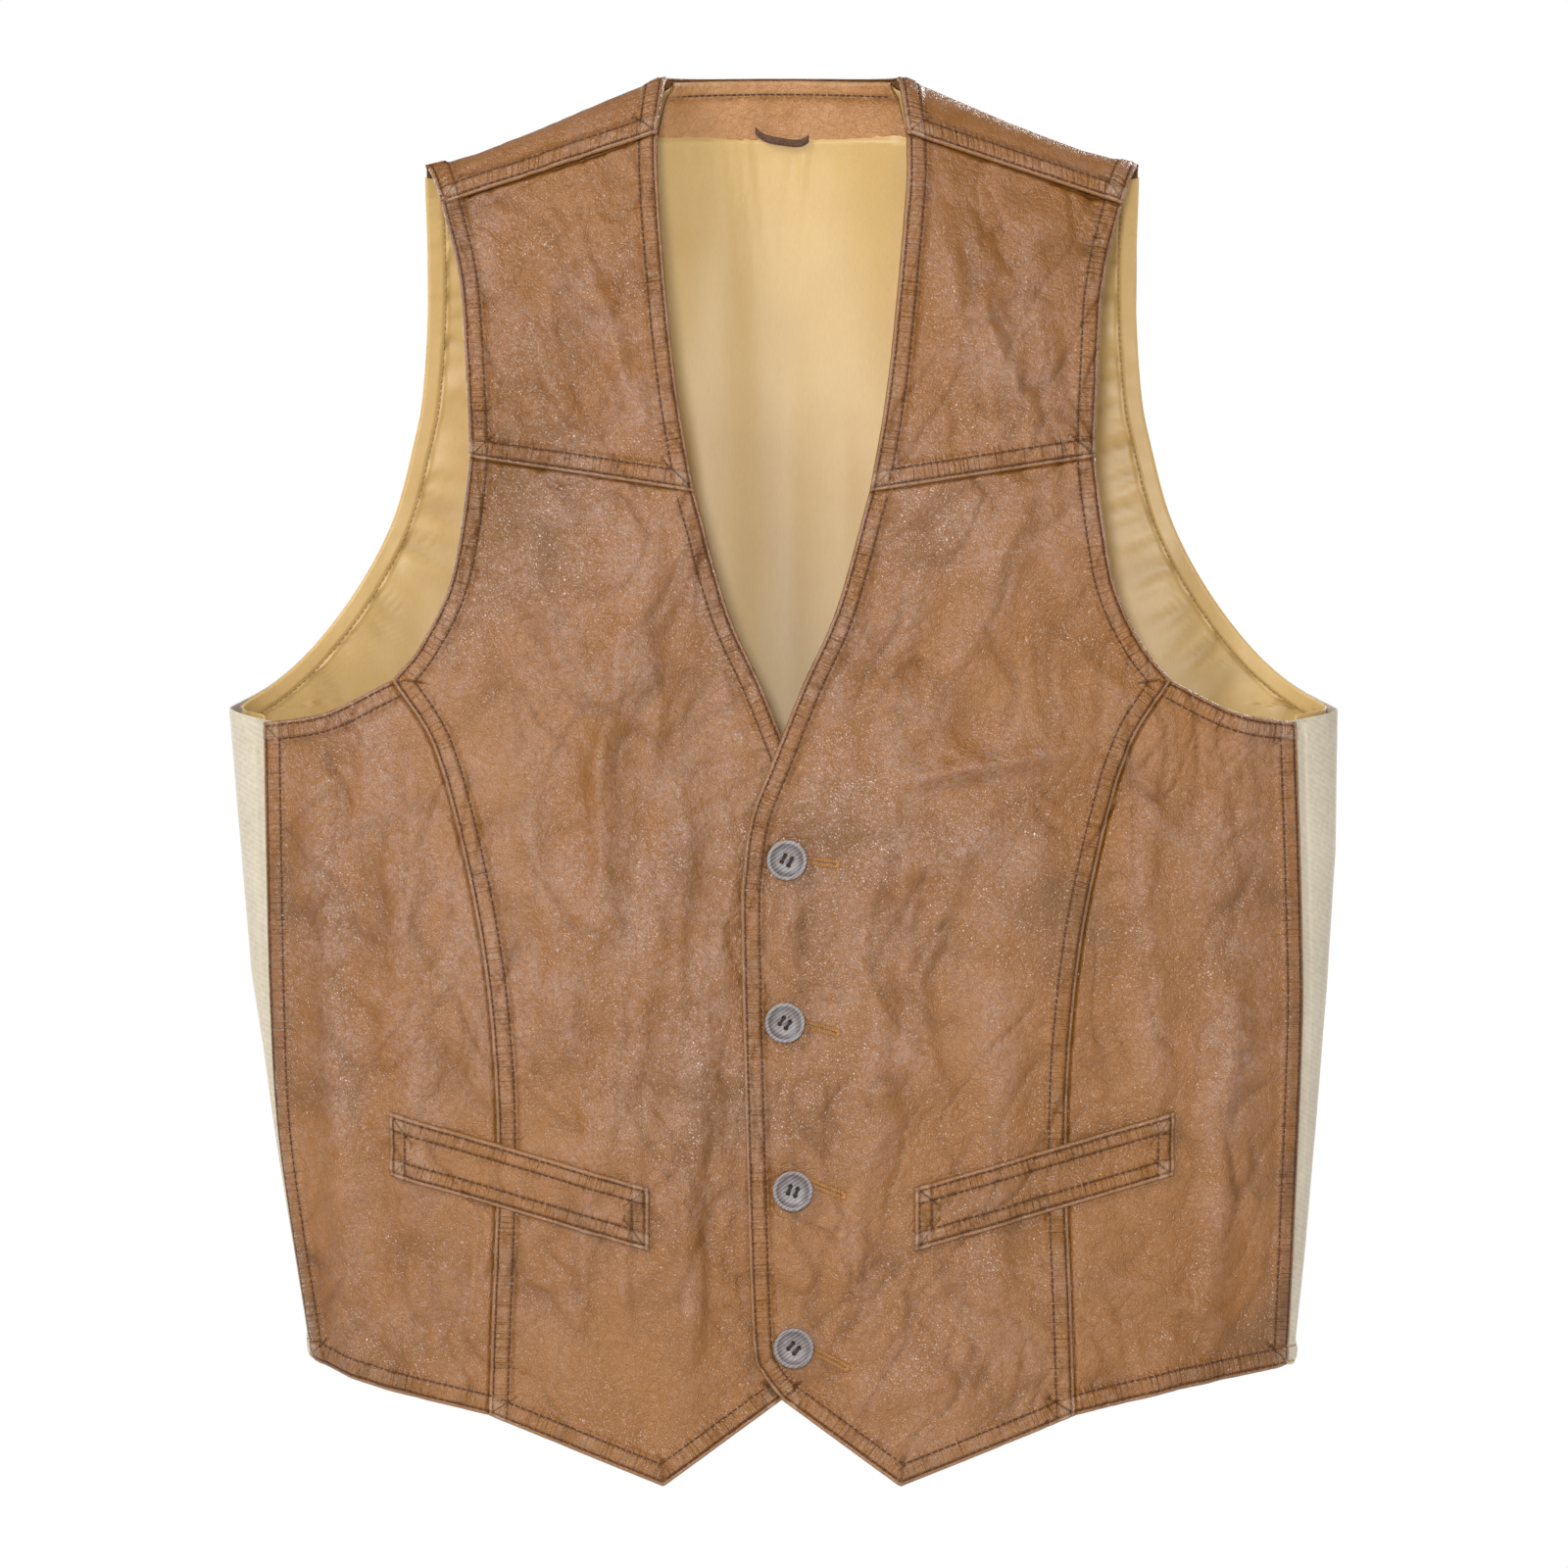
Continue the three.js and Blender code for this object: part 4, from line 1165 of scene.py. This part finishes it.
# Outer boundary of a back piece below a height: armhole, side fold, then down the side seam
def backOuter(side, top, past, grow=0.0):
    sign = sides[side]
    arm = splineThrough(outline["armBack"])
    start = [np.interp(-top, -arm[:, 1], arm[:, 0]), top]
    arm = unrolled(np.vstack([start, arm[arm[:, 1] < top]]), sign) + [grow, 0]
    seam = pastSide(splineThrough(outline["sideSeam"][sign]), sign)
    edge = seam + [past, 0]
    corner = [edge[0, 0], -290.5 - 3 * (past > 0)]
    mirror = [sign, 1]
    return np.vstack([arm, corner, edge[8:]]) * mirror, arm * mirror, seam * mirror


def makeBackPanel(side, looks):
    sign = sides[side]
    top = outline["yokeLine"]
    outer, arm, seam = backOuter(side, top, 4)
    inner = straightThrough([(sign * 0.15, top), (sign * 0.15, outline["backHem"])], 400)
    curves = {
        "inner": inner, "outer": outer,
        "top": straightThrough([inner[0], outer[0]], 100), "bottom": straightThrough([inner[-1], outer[-1]], 200),
    }

    def underLeather(s, z):
        line = np.interp(-z, -seam[:, 1], np.abs(seam[:, 0])) - 4
        return -1.7 * smooth((np.abs(s) - line + 0.8) / 1.6) * smooth((-z - 292) / 3)

    group = "stitching_back_" + side
    obj = makeSheet(
        "back_cloth_" + side, backSkin, backRelief, curves, {"inner": "seam", "bottom": "hem"}, (0, 0.7), 600,
        looks["twill"], tucks=("top",), group=group, shape=underLeather, spacing=(0.9, 2.4, 12),
    )
    withGroups(obj, "back_panel_" + side)
    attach(obj, "root")
    rememberStitches(group, backSkin, backRelief, arm, 8.0, (sign * 40, -400), 0.05, 1, [(curves["inner"], 3)])
    thread = stitchesFor(group)
    thread.data.materials.append(looks["goldThread"])
    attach(thread, "root")
    print("back panel", side)


def neckTop(x):
    return 2.5 - 1.5 * (np.abs(x) / body["neckHalf"]) ** 2


# Back yoke: over the shoulders to the front seams, cut away for the neck
def makeBackYoke(looks):
    half, neck = 163.0, float(body["neckHalf"])
    (ridgeIn, ridgeInZ), (ridgeOut, ridgeOutZ) = outline["ridge"]
    shoulder = neck + (half - neck) * closeAtEnds(half - neck, 0.75, 2.2, 12)
    middle = neck * np.sin(np.linspace(-0.5, 0.5, 61)[1:-1] * math.pi)
    columns = np.concatenate([-shoulder[::-1], middle, shoulder])
    down = closeAtEnds(150, 0.75, 2.2, 12)
    frontShare = closeAtEnds(60, 0.75, 2.0, 12)[::-1][:-1]
    isShoulder = np.abs(columns) >= neck - 1e-6
    first = np.where(isShoulder, 0, shoulderDistance(columns, neckTop(columns)))
    last = shoulderDistance(columns, np.full_like(columns, outline["yokeLine"]))
    t = first[None] + (last - first)[None] * down[:, None]
    across = (np.abs(columns) - neck) / (half - neck)
    ridgeX = ridgeIn + (ridgeOut - ridgeIn) * across
    ridgeZ = ridgeInZ + (ridgeOutZ - ridgeInZ) * across
    frontT = -shoulderDistance(ridgeX, ridgeZ)
    upperX = columns[None] + (np.sign(columns) * ridgeX - columns)[None] * frontShare[:, None]
    x = np.vstack([upperX, np.broadcast_to(columns, t.shape)])
    t = np.vstack([frontT[None] * frontShare[:, None], t])
    grid = np.stack([x, t], -1)
    keep = np.ones((grid.shape[0] - 1, grid.shape[1] - 1), bool)
    over = isShoulder[:-1] & isShoulder[1:] & (np.sign(columns[:-1]) == np.sign(columns[1:]))
    keep[:len(frontShare)] = over[None]
    rows = len(frontShare)
    n = len(shoulder)
    curves = {
        "neck": np.vstack([grid[:rows, n - 1], grid[rows, n - 1:-n + 1 or None][:-1], grid[rows::-1, -n]]),
        "seamLeft": grid[0, -n:], "seamRight": grid[0, :n],
        "armLeft": grid[:, -1], "armRight": grid[:, 0], "bottom": grid[-1],
    }
    edges = {"neck": "free", "seamLeft": "over", "seamRight": "over", "armLeft": "free", "armRight": "free",
             "bottom": "over"}
    group = "topstitching_yoke"
    relief = lambda x, z: frontRelief(x + 300, z * 1.1) * 0.55
    obj = makeSheet(
        "back_yoke_leather", shoulderSkin, relief, curves, edges, (0, 1.1), 700, looks["leather"],
        group=None, grid=grid, keep=keep,
    )
    inwards = {"neck": (0, 60), "seamLeft": (110, 0), "seamRight": (-110, 0), "armLeft": (100, 40),
               "armRight": (-100, 40), "bottom": (0, 80)}
    for edge, kind in edges.items():
        others = [(curves[o], 2.2) for o in edges if o != edge]
        for row in edgeKinds[kind]["rows"]:
            lift = edgeKinds[kind]["raise"] - 0.32
            rememberStitches(group, shoulderSkin, relief, curves[edge], row, inwards[edge], lift, 1, others)
    withGroups(obj, "back_yoke")
    thread = stitchesFor(group)
    thread.data.materials.append(looks["thread"])
    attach(obj, "root")
    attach(thread, "root")
    print("back yoke")


def makeNeckFacing(looks):
    x = np.linspace(-52, 52, 80)
    curves = {
        "top": np.stack([x, neckTop(x) - 0.6], -1), "bottom": np.stack([x * 1.12, np.full_like(x, -25.0)], -1),
        "inner": straightThrough([(-52, neckTop(52) - 0.6), (-58.2, -25)], 30),
        "outer": straightThrough([(52, neckTop(52) - 0.6), (58.2, -25)], 30),
    }
    group = "topstitching_neck"
    obj = makeSheet(
        "neck_facing_leather", backSkin, noRelief, curves, {"top": "neck"}, (2.5, 3.5), 800, looks["facing"],
        group=group, facing=-1, spacing=(0.6, 1.2, 8),
        shape=lambda s, z: 0.5 * softNoise(s / 9, z / 14, 81) + 0.3 * softNoise(s / 3, z / 8, 82),
    )
    withGroups(obj, "neck_facing")
    thread = stitchesFor(group)
    thread.data.materials.append(looks["thread"])
    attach(obj, "root")
    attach(thread, "root")
    print("neck facing")


liningTucks = [
    # tucks in the back lining below the facing: x, length, depth
    (-17, 26, 3.0), (12, 24, 3.4), (9, 34, 1.6), (-30, 40, 1.2), (30, 36, 1.0), (-43, 22, 1.4), (44, 24, 1.4),
    (-22, 18, 1.2),
]


def liningRelief(x, z):
    h = 1.5 * softNoise(x / 30 + 3, z / 200, 91) + 0.5 * softNoise(x / 13, z / 90, 92)
    for at, length, depth in liningTucks:
        fall = np.exp(-np.clip(-25 - z, 0, None) / length) * smooth((-20 - z) / 6)
        bend = at + (z + 25) * 0.12 * np.sign(at)
        h += depth * fall * np.exp(-((x - bend) / 1.6) ** 2) - 0.5 * depth * fall * np.exp(-((x - bend) / 4) ** 2)
    return -h * smooth((-z - 12) / 25)


def makeBackLining(looks):
    outers, arms = {}, {}
    for side in sides:
        outers[side], arms[side], _ = backOuter(side, -41, -1.5, 1.2)
        bottomCut = outers[side][:, 1] > -585
        outers[side] = outers[side][bottomCut]
    x = np.linspace(-1, 1, 241)
    start, end = outers["right"][0], outers["left"][0]
    s = np.where(x < 0, -start[0] * x, end[0] * x)
    z = np.minimum(neckTop(s) - 2, foldHeight(s) - 4)
    z = z + (np.interp(np.abs(x), [0, 0.93, 1], [0, 0, 1]) * (-41 - z))
    top = np.stack([s, z], -1)
    top[0], top[-1] = start, end
    curves = {
        "top": top, "bottom": straightThrough([outers["right"][-1], outers["left"][-1]], 300),
        "inner": outers["right"], "outer": outers["left"], "armLeft": arms["left"], "armRight": arms["right"],
    }

    def underFacing(s, z):
        return -3.1 * smooth((z + 26) / 3)

    grid = patchGrid({k: curves[k] for k in ("top", "bottom", "inner", "outer")}, 1.05, 3.2, 34)
    group = "stitching_lining"
    obj = makeSheet(
        "back_lining_satin", backSkin, liningRelief, curves, {"armLeft": "satinArm", "armRight": "satinArm"},
        (5.0, 5.3), 900, looks["satin"], group=None, facing=-1, shape=underFacing, grid=grid,
    )
    for side, sign in sides.items():
        rememberStitches(
            group, backSkin, liningRelief, arms[side], 8.0, (sign * 20, -300), 5.55, -1, [(top, 4)],
        )
    withGroups(obj, "back_lining")
    thread = stitchesFor(group)
    thread.data.materials.append(looks["goldThread"])
    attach(obj, "root")
    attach(thread, "root")
    print("back lining")


# Buttons, buttonholes, loop and cinch

def selectNone():
    bpy.ops.object.select_all(action="DESELECT")


def editTop(obj, above):
    bpy.ops.object.mode_set(mode="EDIT")
    mesh = bmesh.from_edit_mesh(obj.data)
    for face in mesh.faces:
        face.select_set(face.normal.z > 0.9 and face.calc_center_median().z > above)
    bmesh.update_edit_mesh(obj.data)


def cutWith(obj, cutter):
    modifier = obj.modifiers.new("cut", "BOOLEAN")
    modifier.operation = "DIFFERENCE"
    modifier.solver = "EXACT"
    modifier.object = cutter
    bpy.context.view_layer.objects.active = obj
    bpy.ops.object.modifier_apply(modifier=modifier.name)
    bpy.data.objects.remove(cutter)


def applyModifiers(obj):
    bpy.context.view_layer.objects.active = obj
    for modifier in list(obj.modifiers):
        bpy.ops.object.modifier_apply(modifier=modifier.name)


# A turned disc with a raised rim, a dished middle and four sewing holes, face up at the origin
def makeButtonDisc():
    look = buttonLook
    selectNone()
    bpy.ops.mesh.primitive_cylinder_add(
        vertices=56, radius=look["radius"] * mm, depth=look["thick"] * mm,
        location=(0, 0, look["thick"] / 2 * mm),
    )
    disc = bpy.context.object
    bpy.ops.object.transform_apply(location=True)
    editTop(disc, (look["thick"] - 0.1) * mm)
    for inset, drop in ((0.75, 0.0), (0.8, 0.0), (0.55, -0.55), (0.7, -0.4), (1.2, -0.2)):
        bpy.ops.mesh.inset(thickness=inset * mm)
        if drop:
            bpy.ops.transform.translate(value=(0, 0, drop * mm))
    bpy.ops.object.mode_set(mode="OBJECT")
    for degrees in (45, 135, 225, 315):
        a = math.radians(degrees)
        selectNone()
        bpy.ops.mesh.primitive_cylinder_add(
            vertices=16, radius=look["hole"] * mm, depth=12 * mm,
            location=(look["spacing"] * mm * math.cos(a), look["spacing"] * mm * math.sin(a), 0),
        )
        cutWith(disc, bpy.context.object)
    bevel = disc.modifiers.new("softEdges", "BEVEL")
    bevel.width = 0.28 * mm
    bevel.segments = 3
    bevel.limit_method = "ANGLE"
    bevel.angle_limit = math.radians(28)
    applyModifiers(disc)
    selectNone()
    disc.select_set(True)
    bpy.context.view_layer.objects.active = disc
    bpy.ops.object.shade_smooth_by_angle(angle=math.radians(35))
    return disc


def tube(points, radius, sidesCount=8):
    pts = np.asarray(points, float)
    tangent = np.gradient(pts, axis=0)
    tangent /= np.linalg.norm(tangent, axis=1, keepdims=True)
    up = np.array([0.31, 0.12, 0.94])
    a = np.cross(tangent, up)
    a /= np.linalg.norm(a, axis=1, keepdims=True)
    b = np.cross(tangent, a)
    angles = np.arange(sidesCount) * 2 * math.pi / sidesCount
    ring = pts[:, None] + radius * (np.cos(angles)[None, :, None] * a[:, None] + np.sin(angles)[None, :, None] * b[:, None])
    faces = []
    for i in range(len(pts) - 1):
        for k in range(sidesCount):
            j = (k + 1) % sidesCount
            faces.append((i * sidesCount + k, i * sidesCount + j, (i + 1) * sidesCount + j, (i + 1) * sidesCount + k))
    faces.append(tuple(range(sidesCount))[::-1])
    faces.append(tuple(range((len(pts) - 1) * sidesCount, len(pts) * sidesCount)))
    return ring.reshape(-1, 3), faces


def joinTubes(name, parts):
    vertices, faces, first = [], [], 0
    for points, radius in parts:
        v, f = tube(points, radius)
        vertices.append(v)
        faces += [tuple(first + k for k in face) for face in f]
        first += len(v)
    obj = meshObject(name, np.concatenate(vertices), faces)
    selectNone()
    obj.select_set(True)
    bpy.context.view_layer.objects.active = obj
    bpy.ops.object.mode_set(mode="EDIT")
    bpy.ops.mesh.select_all(action="SELECT")
    bpy.ops.mesh.normals_make_consistent(inside=False)
    bpy.ops.object.mode_set(mode="OBJECT")
    return obj


def makeButtons(looks):
    look = buttonLook
    pattern = makeButtonDisc()
    pattern.data.materials.append(looks["horn"])
    back = -body["halfDepth"] - look["lift"]
    for i, (x, z) in enumerate(look["spots"]):
        button = pattern if i == 0 else pattern.copy()
        if i:
            button.data = pattern.data.copy()
            bpy.context.collection.objects.link(button)
        else:
            plain = pattern.data.copy()
        button.data = plain.copy()
        button.name = f"button_disc_{i + 1}"
        turn = math.radians((-28, -34, -20, -40)[i])
        spot = np.array([x, back, z]) * mm
        for vertex in button.data.vertices:
            px, py, pz = vertex.co
            vertex.co = (px * math.cos(turn) - py * math.sin(turn) + spot[0], spot[1] - pz,
                         px * math.sin(turn) + py * math.cos(turn) + spot[2])
        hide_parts(f"button_{i + 1}")
        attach(button, f"button_{i + 1}")
        holes = []
        for degrees in (45, 135, 225, 315):
            a = math.radians(degrees) + turn
            holes.append((x + look["spacing"] * math.cos(a), z + look["spacing"] * math.sin(a)))
        parts = []
        dish = back - look["thick"] + 1.15
        for strand, (p, q) in enumerate(((0, 3), (1, 2))):
            for shift in (-0.34, 0.34):
                (ax, az), (bx, bz) = holes[p], holes[q]
                length = math.hypot(bx - ax, bz - az)
                ox, oz = -(bz - az) / length * shift, (bx - ax) / length * shift
                u = np.linspace(-0.0, 1, 13)
                arch = dish - 0.35 - (0.45 + 0.1 * strand) * np.sin(u * math.pi)
                line = np.stack([ax + (bx - ax) * u + ox, arch, az + (bz - az) * u + oz], -1)
                ends = [line[0] + [0, 2.6, 0], line[-1] + [0, 2.6, 0]]
                parts.append((np.vstack([ends[0], line, ends[1]]), 0.36))
        for k in range(3):
            a = 2 * math.pi * k / 3
            u = np.linspace(0, 1, 5)
            wrap = a + u * 1.2
            shank = np.stack([x + 0.5 * np.cos(wrap), back + 0.4 + 4.6 * u, z + 0.5 * np.sin(wrap)], -1)
            parts.append((shank, 0.45))
        thread = joinTubes(f"button_sewing_{i + 1}", parts)
        thread.data.materials.append(looks["buttonThread"])
        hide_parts(f"button_thread_{i + 1}")
        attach(thread, f"button_{i + 1}")
    print("buttons")


# Close stitches worked over both lips of each slit, fanned round its ends
def makeButtonholes(looks):
    look = buttonholeLook
    place = frontSkin("left")
    for i, line in enumerate(buttonholeLines):
        lengths = lengthsAlong(line)
        total = lengths[-1]
        count = int(total / look["pitch"])
        s = (np.arange(count) + 0.5) * total / count
        middle = np.stack([np.interp(s, lengths, line[:, 0]), np.interp(s, lengths, line[:, 1])], -1)
        starts = [middle + [0, look["gap"]], middle - [0, look["gap"]]]
        ends = [middle + [0, look["reach"]], middle - [0, look["reach"]]]
        for end, sign in ((line[0], -1), (line[-1], 1)):
            a = np.radians(np.linspace(-75, 75, 7))
            fan = np.stack([sign * np.cos(a), np.sin(a)], -1)
            starts.append(end + fan * look["gap"])
            ends.append(end + fan * look["reach"])
        starts, ends = np.concatenate(starts), np.concatenate(ends)
        placed = []
        for flat in (starts, ends):
            at = place(flat[:, 0], flat[:, 1])
            n = unitNormals(place, flat[:, 0], flat[:, 1])
            placed.append(at + n * (frontRelief(at[:, 0], at[:, 2]) + 0.12)[:, None])
        obj = threadPieces(f"buttonhole_stitches_{i + 1}", placed[0], placed[1], n, 0.95, 0.75, 0.2)
        obj.data.materials.append(looks["holeThread"])
        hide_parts(f"buttonhole_{i + 1}")
        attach(obj, "front_left")
    print("buttonholes")


def makeLoop(looks):
    t = np.linspace(-1, 1, 49)[None]
    v = np.linspace(0, 1, 9)[:, None]
    x = 12.8 * t + 0 * v
    sag = 3.2 * (1 - t ** 4) + 1.9 * t
    z = -20.5 - sag - 3.4 * v
    at = backSkin(x, z)
    n = -unitNormals(backSkin, x, z)
    bow = 1.1 * (1 - t ** 2) + 0.5 * softNoise(t * 4 + 5, v * 1.5, 61)
    lip = -0.25 * (np.abs(2 * v - 1) ** 6)
    outer = at + n * (7.0 + bow + lip)[..., None]
    inner = at + n * (6.5 + bow + 0 * lip)[..., None]
    obj = closedSheet("hanger_loop_ribbon", outer, inner)
    obj.data.materials.append(looks["ribbon"])
    withGroups(obj, "hanger_loop")
    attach(obj, "loop")
    print("hanger loop")


def makeStrap(side, looks):
    sign = sides[side]
    x0, x1 = 205.0, 5.0
    xs = np.linspace(x0, x1, 200)
    rise = 6 * (1 - (x0 - xs) / (x0 - x1)) ** 2
    line = lambda z: np.stack([sign * roundDistance(xs, np.full_like(xs, z), sign), -452 + rise + z + 452], -1)
    topLine, bottomLine = line(-442.0), line(-462.0)
    curves = {
        "top": topLine, "bottom": bottomLine,
        "inner": straightThrough([topLine[0], bottomLine[0]], 30),
        "outer": straightThrough([topLine[-1], bottomLine[-1]], 30),
    }
    curves = {k: c * [[1, 1]] for k, c in curves.items()}
    if side == "right":
        curves = {k: np.abs(c) * [[-1, -1]] for k, c in curves.items()}
    else:
        curves = {k: np.abs(c) * [[1, -1]] for k, c in curves.items()}

    def overBuckle(s, z):
        return 1.9 * smooth((24 - np.abs(s)) / 8) - 1.2 * smooth((np.abs(s) - 190) / 10)

    group = "stitching_strap_" + side
    obj = makeSheet(
        "cinch_cloth_" + side, backSkin, backRelief, curves, {"top": "strap", "bottom": "strap", "inner": "strap"},
        (-1.7, -0.5), 950, looks["twill"], group=group, shape=overBuckle, spacing=(0.6, 1.6, 5),
    )
    withGroups(obj, "cinch_strap_" + side)
    thread = stitchesFor(group)
    thread.data.materials.append(looks["goldThread"])
    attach(obj, "root")
    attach(thread, "root")


# Slider buckle: a flat frame with two slots, cut and rounded
def makeBuckle(looks):
    width, height, bar, thick, lift = 34.0, 27.0, 3.2, 2.2, 2.1
    slotWidth = (width - 3 * bar) / 2
    where = (0, body["halfDepth"] + lift + thick / 2, -452.0)
    selectNone()
    bpy.ops.mesh.primitive_cube_add(size=1, location=[c * mm for c in where])
    frameObject = bpy.context.object
    frameObject.scale = (width * mm, thick * mm, height * mm)
    bpy.ops.object.transform_apply(location=True, scale=True)
    for sign in (-1, 1):
        selectNone()
        bpy.ops.mesh.primitive_cube_add(
            size=1, location=(sign * (bar + slotWidth) / 2 * mm, where[1] * mm, where[2] * mm),
        )
        slot = bpy.context.object
        slot.scale = (slotWidth * mm, 3 * thick * mm, (height - 2 * bar) * mm)
        bpy.ops.object.transform_apply(location=False, scale=True)
        cutWith(frameObject, slot)
    bevel = frameObject.modifiers.new("roundedEdges", "BEVEL")
    bevel.width = 0.75 * mm
    bevel.segments = 4
    bevel.limit_method = "ANGLE"
    applyModifiers(frameObject)
    bpy.ops.object.shade_smooth_by_angle(angle=math.radians(40))
    frameObject.name = "cinch_slider"
    frameObject.data.materials.append(looks["nickel"])
    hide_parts("cinch_buckle")
    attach(frameObject, "root")
    print("cinch")


makeCamera()
makeStudio()
looks = {
    "leather": tanLeather("anilineLeather", leatherLook),
    "facing": tanLeather("anilineLeatherInside", facingLook, 0.44),
    "satin": goldSatin(),
    "twill": beigeTwill(),
    "thread": threadMaterial("topstitchThread", "331a0a", "5a3114"),
    "buttonThread": threadMaterial("buttonThread", "1d1511", "3a2c24"),
    "goldThread": threadMaterial("liningThread", "8a6834", "a98548"),
    "holeThread": threadMaterial("buttonholeTwist", "7c4f26", "a8763e"),
    "ribbon": threadMaterial("wovenRibbon", "3a2418", "5d3f2c"),
    "horn": hornResin(),
    "nickel": agedNickel(),
}
for side in sides:
    makePanels(side, looks)
    makePockets(side, looks)
    makeInside(side, looks)
for side in sides:
    makeBackPanel(side, looks)
makeBackYoke(looks)
makeNeckFacing(looks)
makeBackLining(looks)
makeButtons(looks)
makeButtonholes(looks)
makeLoop(looks)
for side in sides:
    makeStrap(side, looks)
makeBuckle(looks)
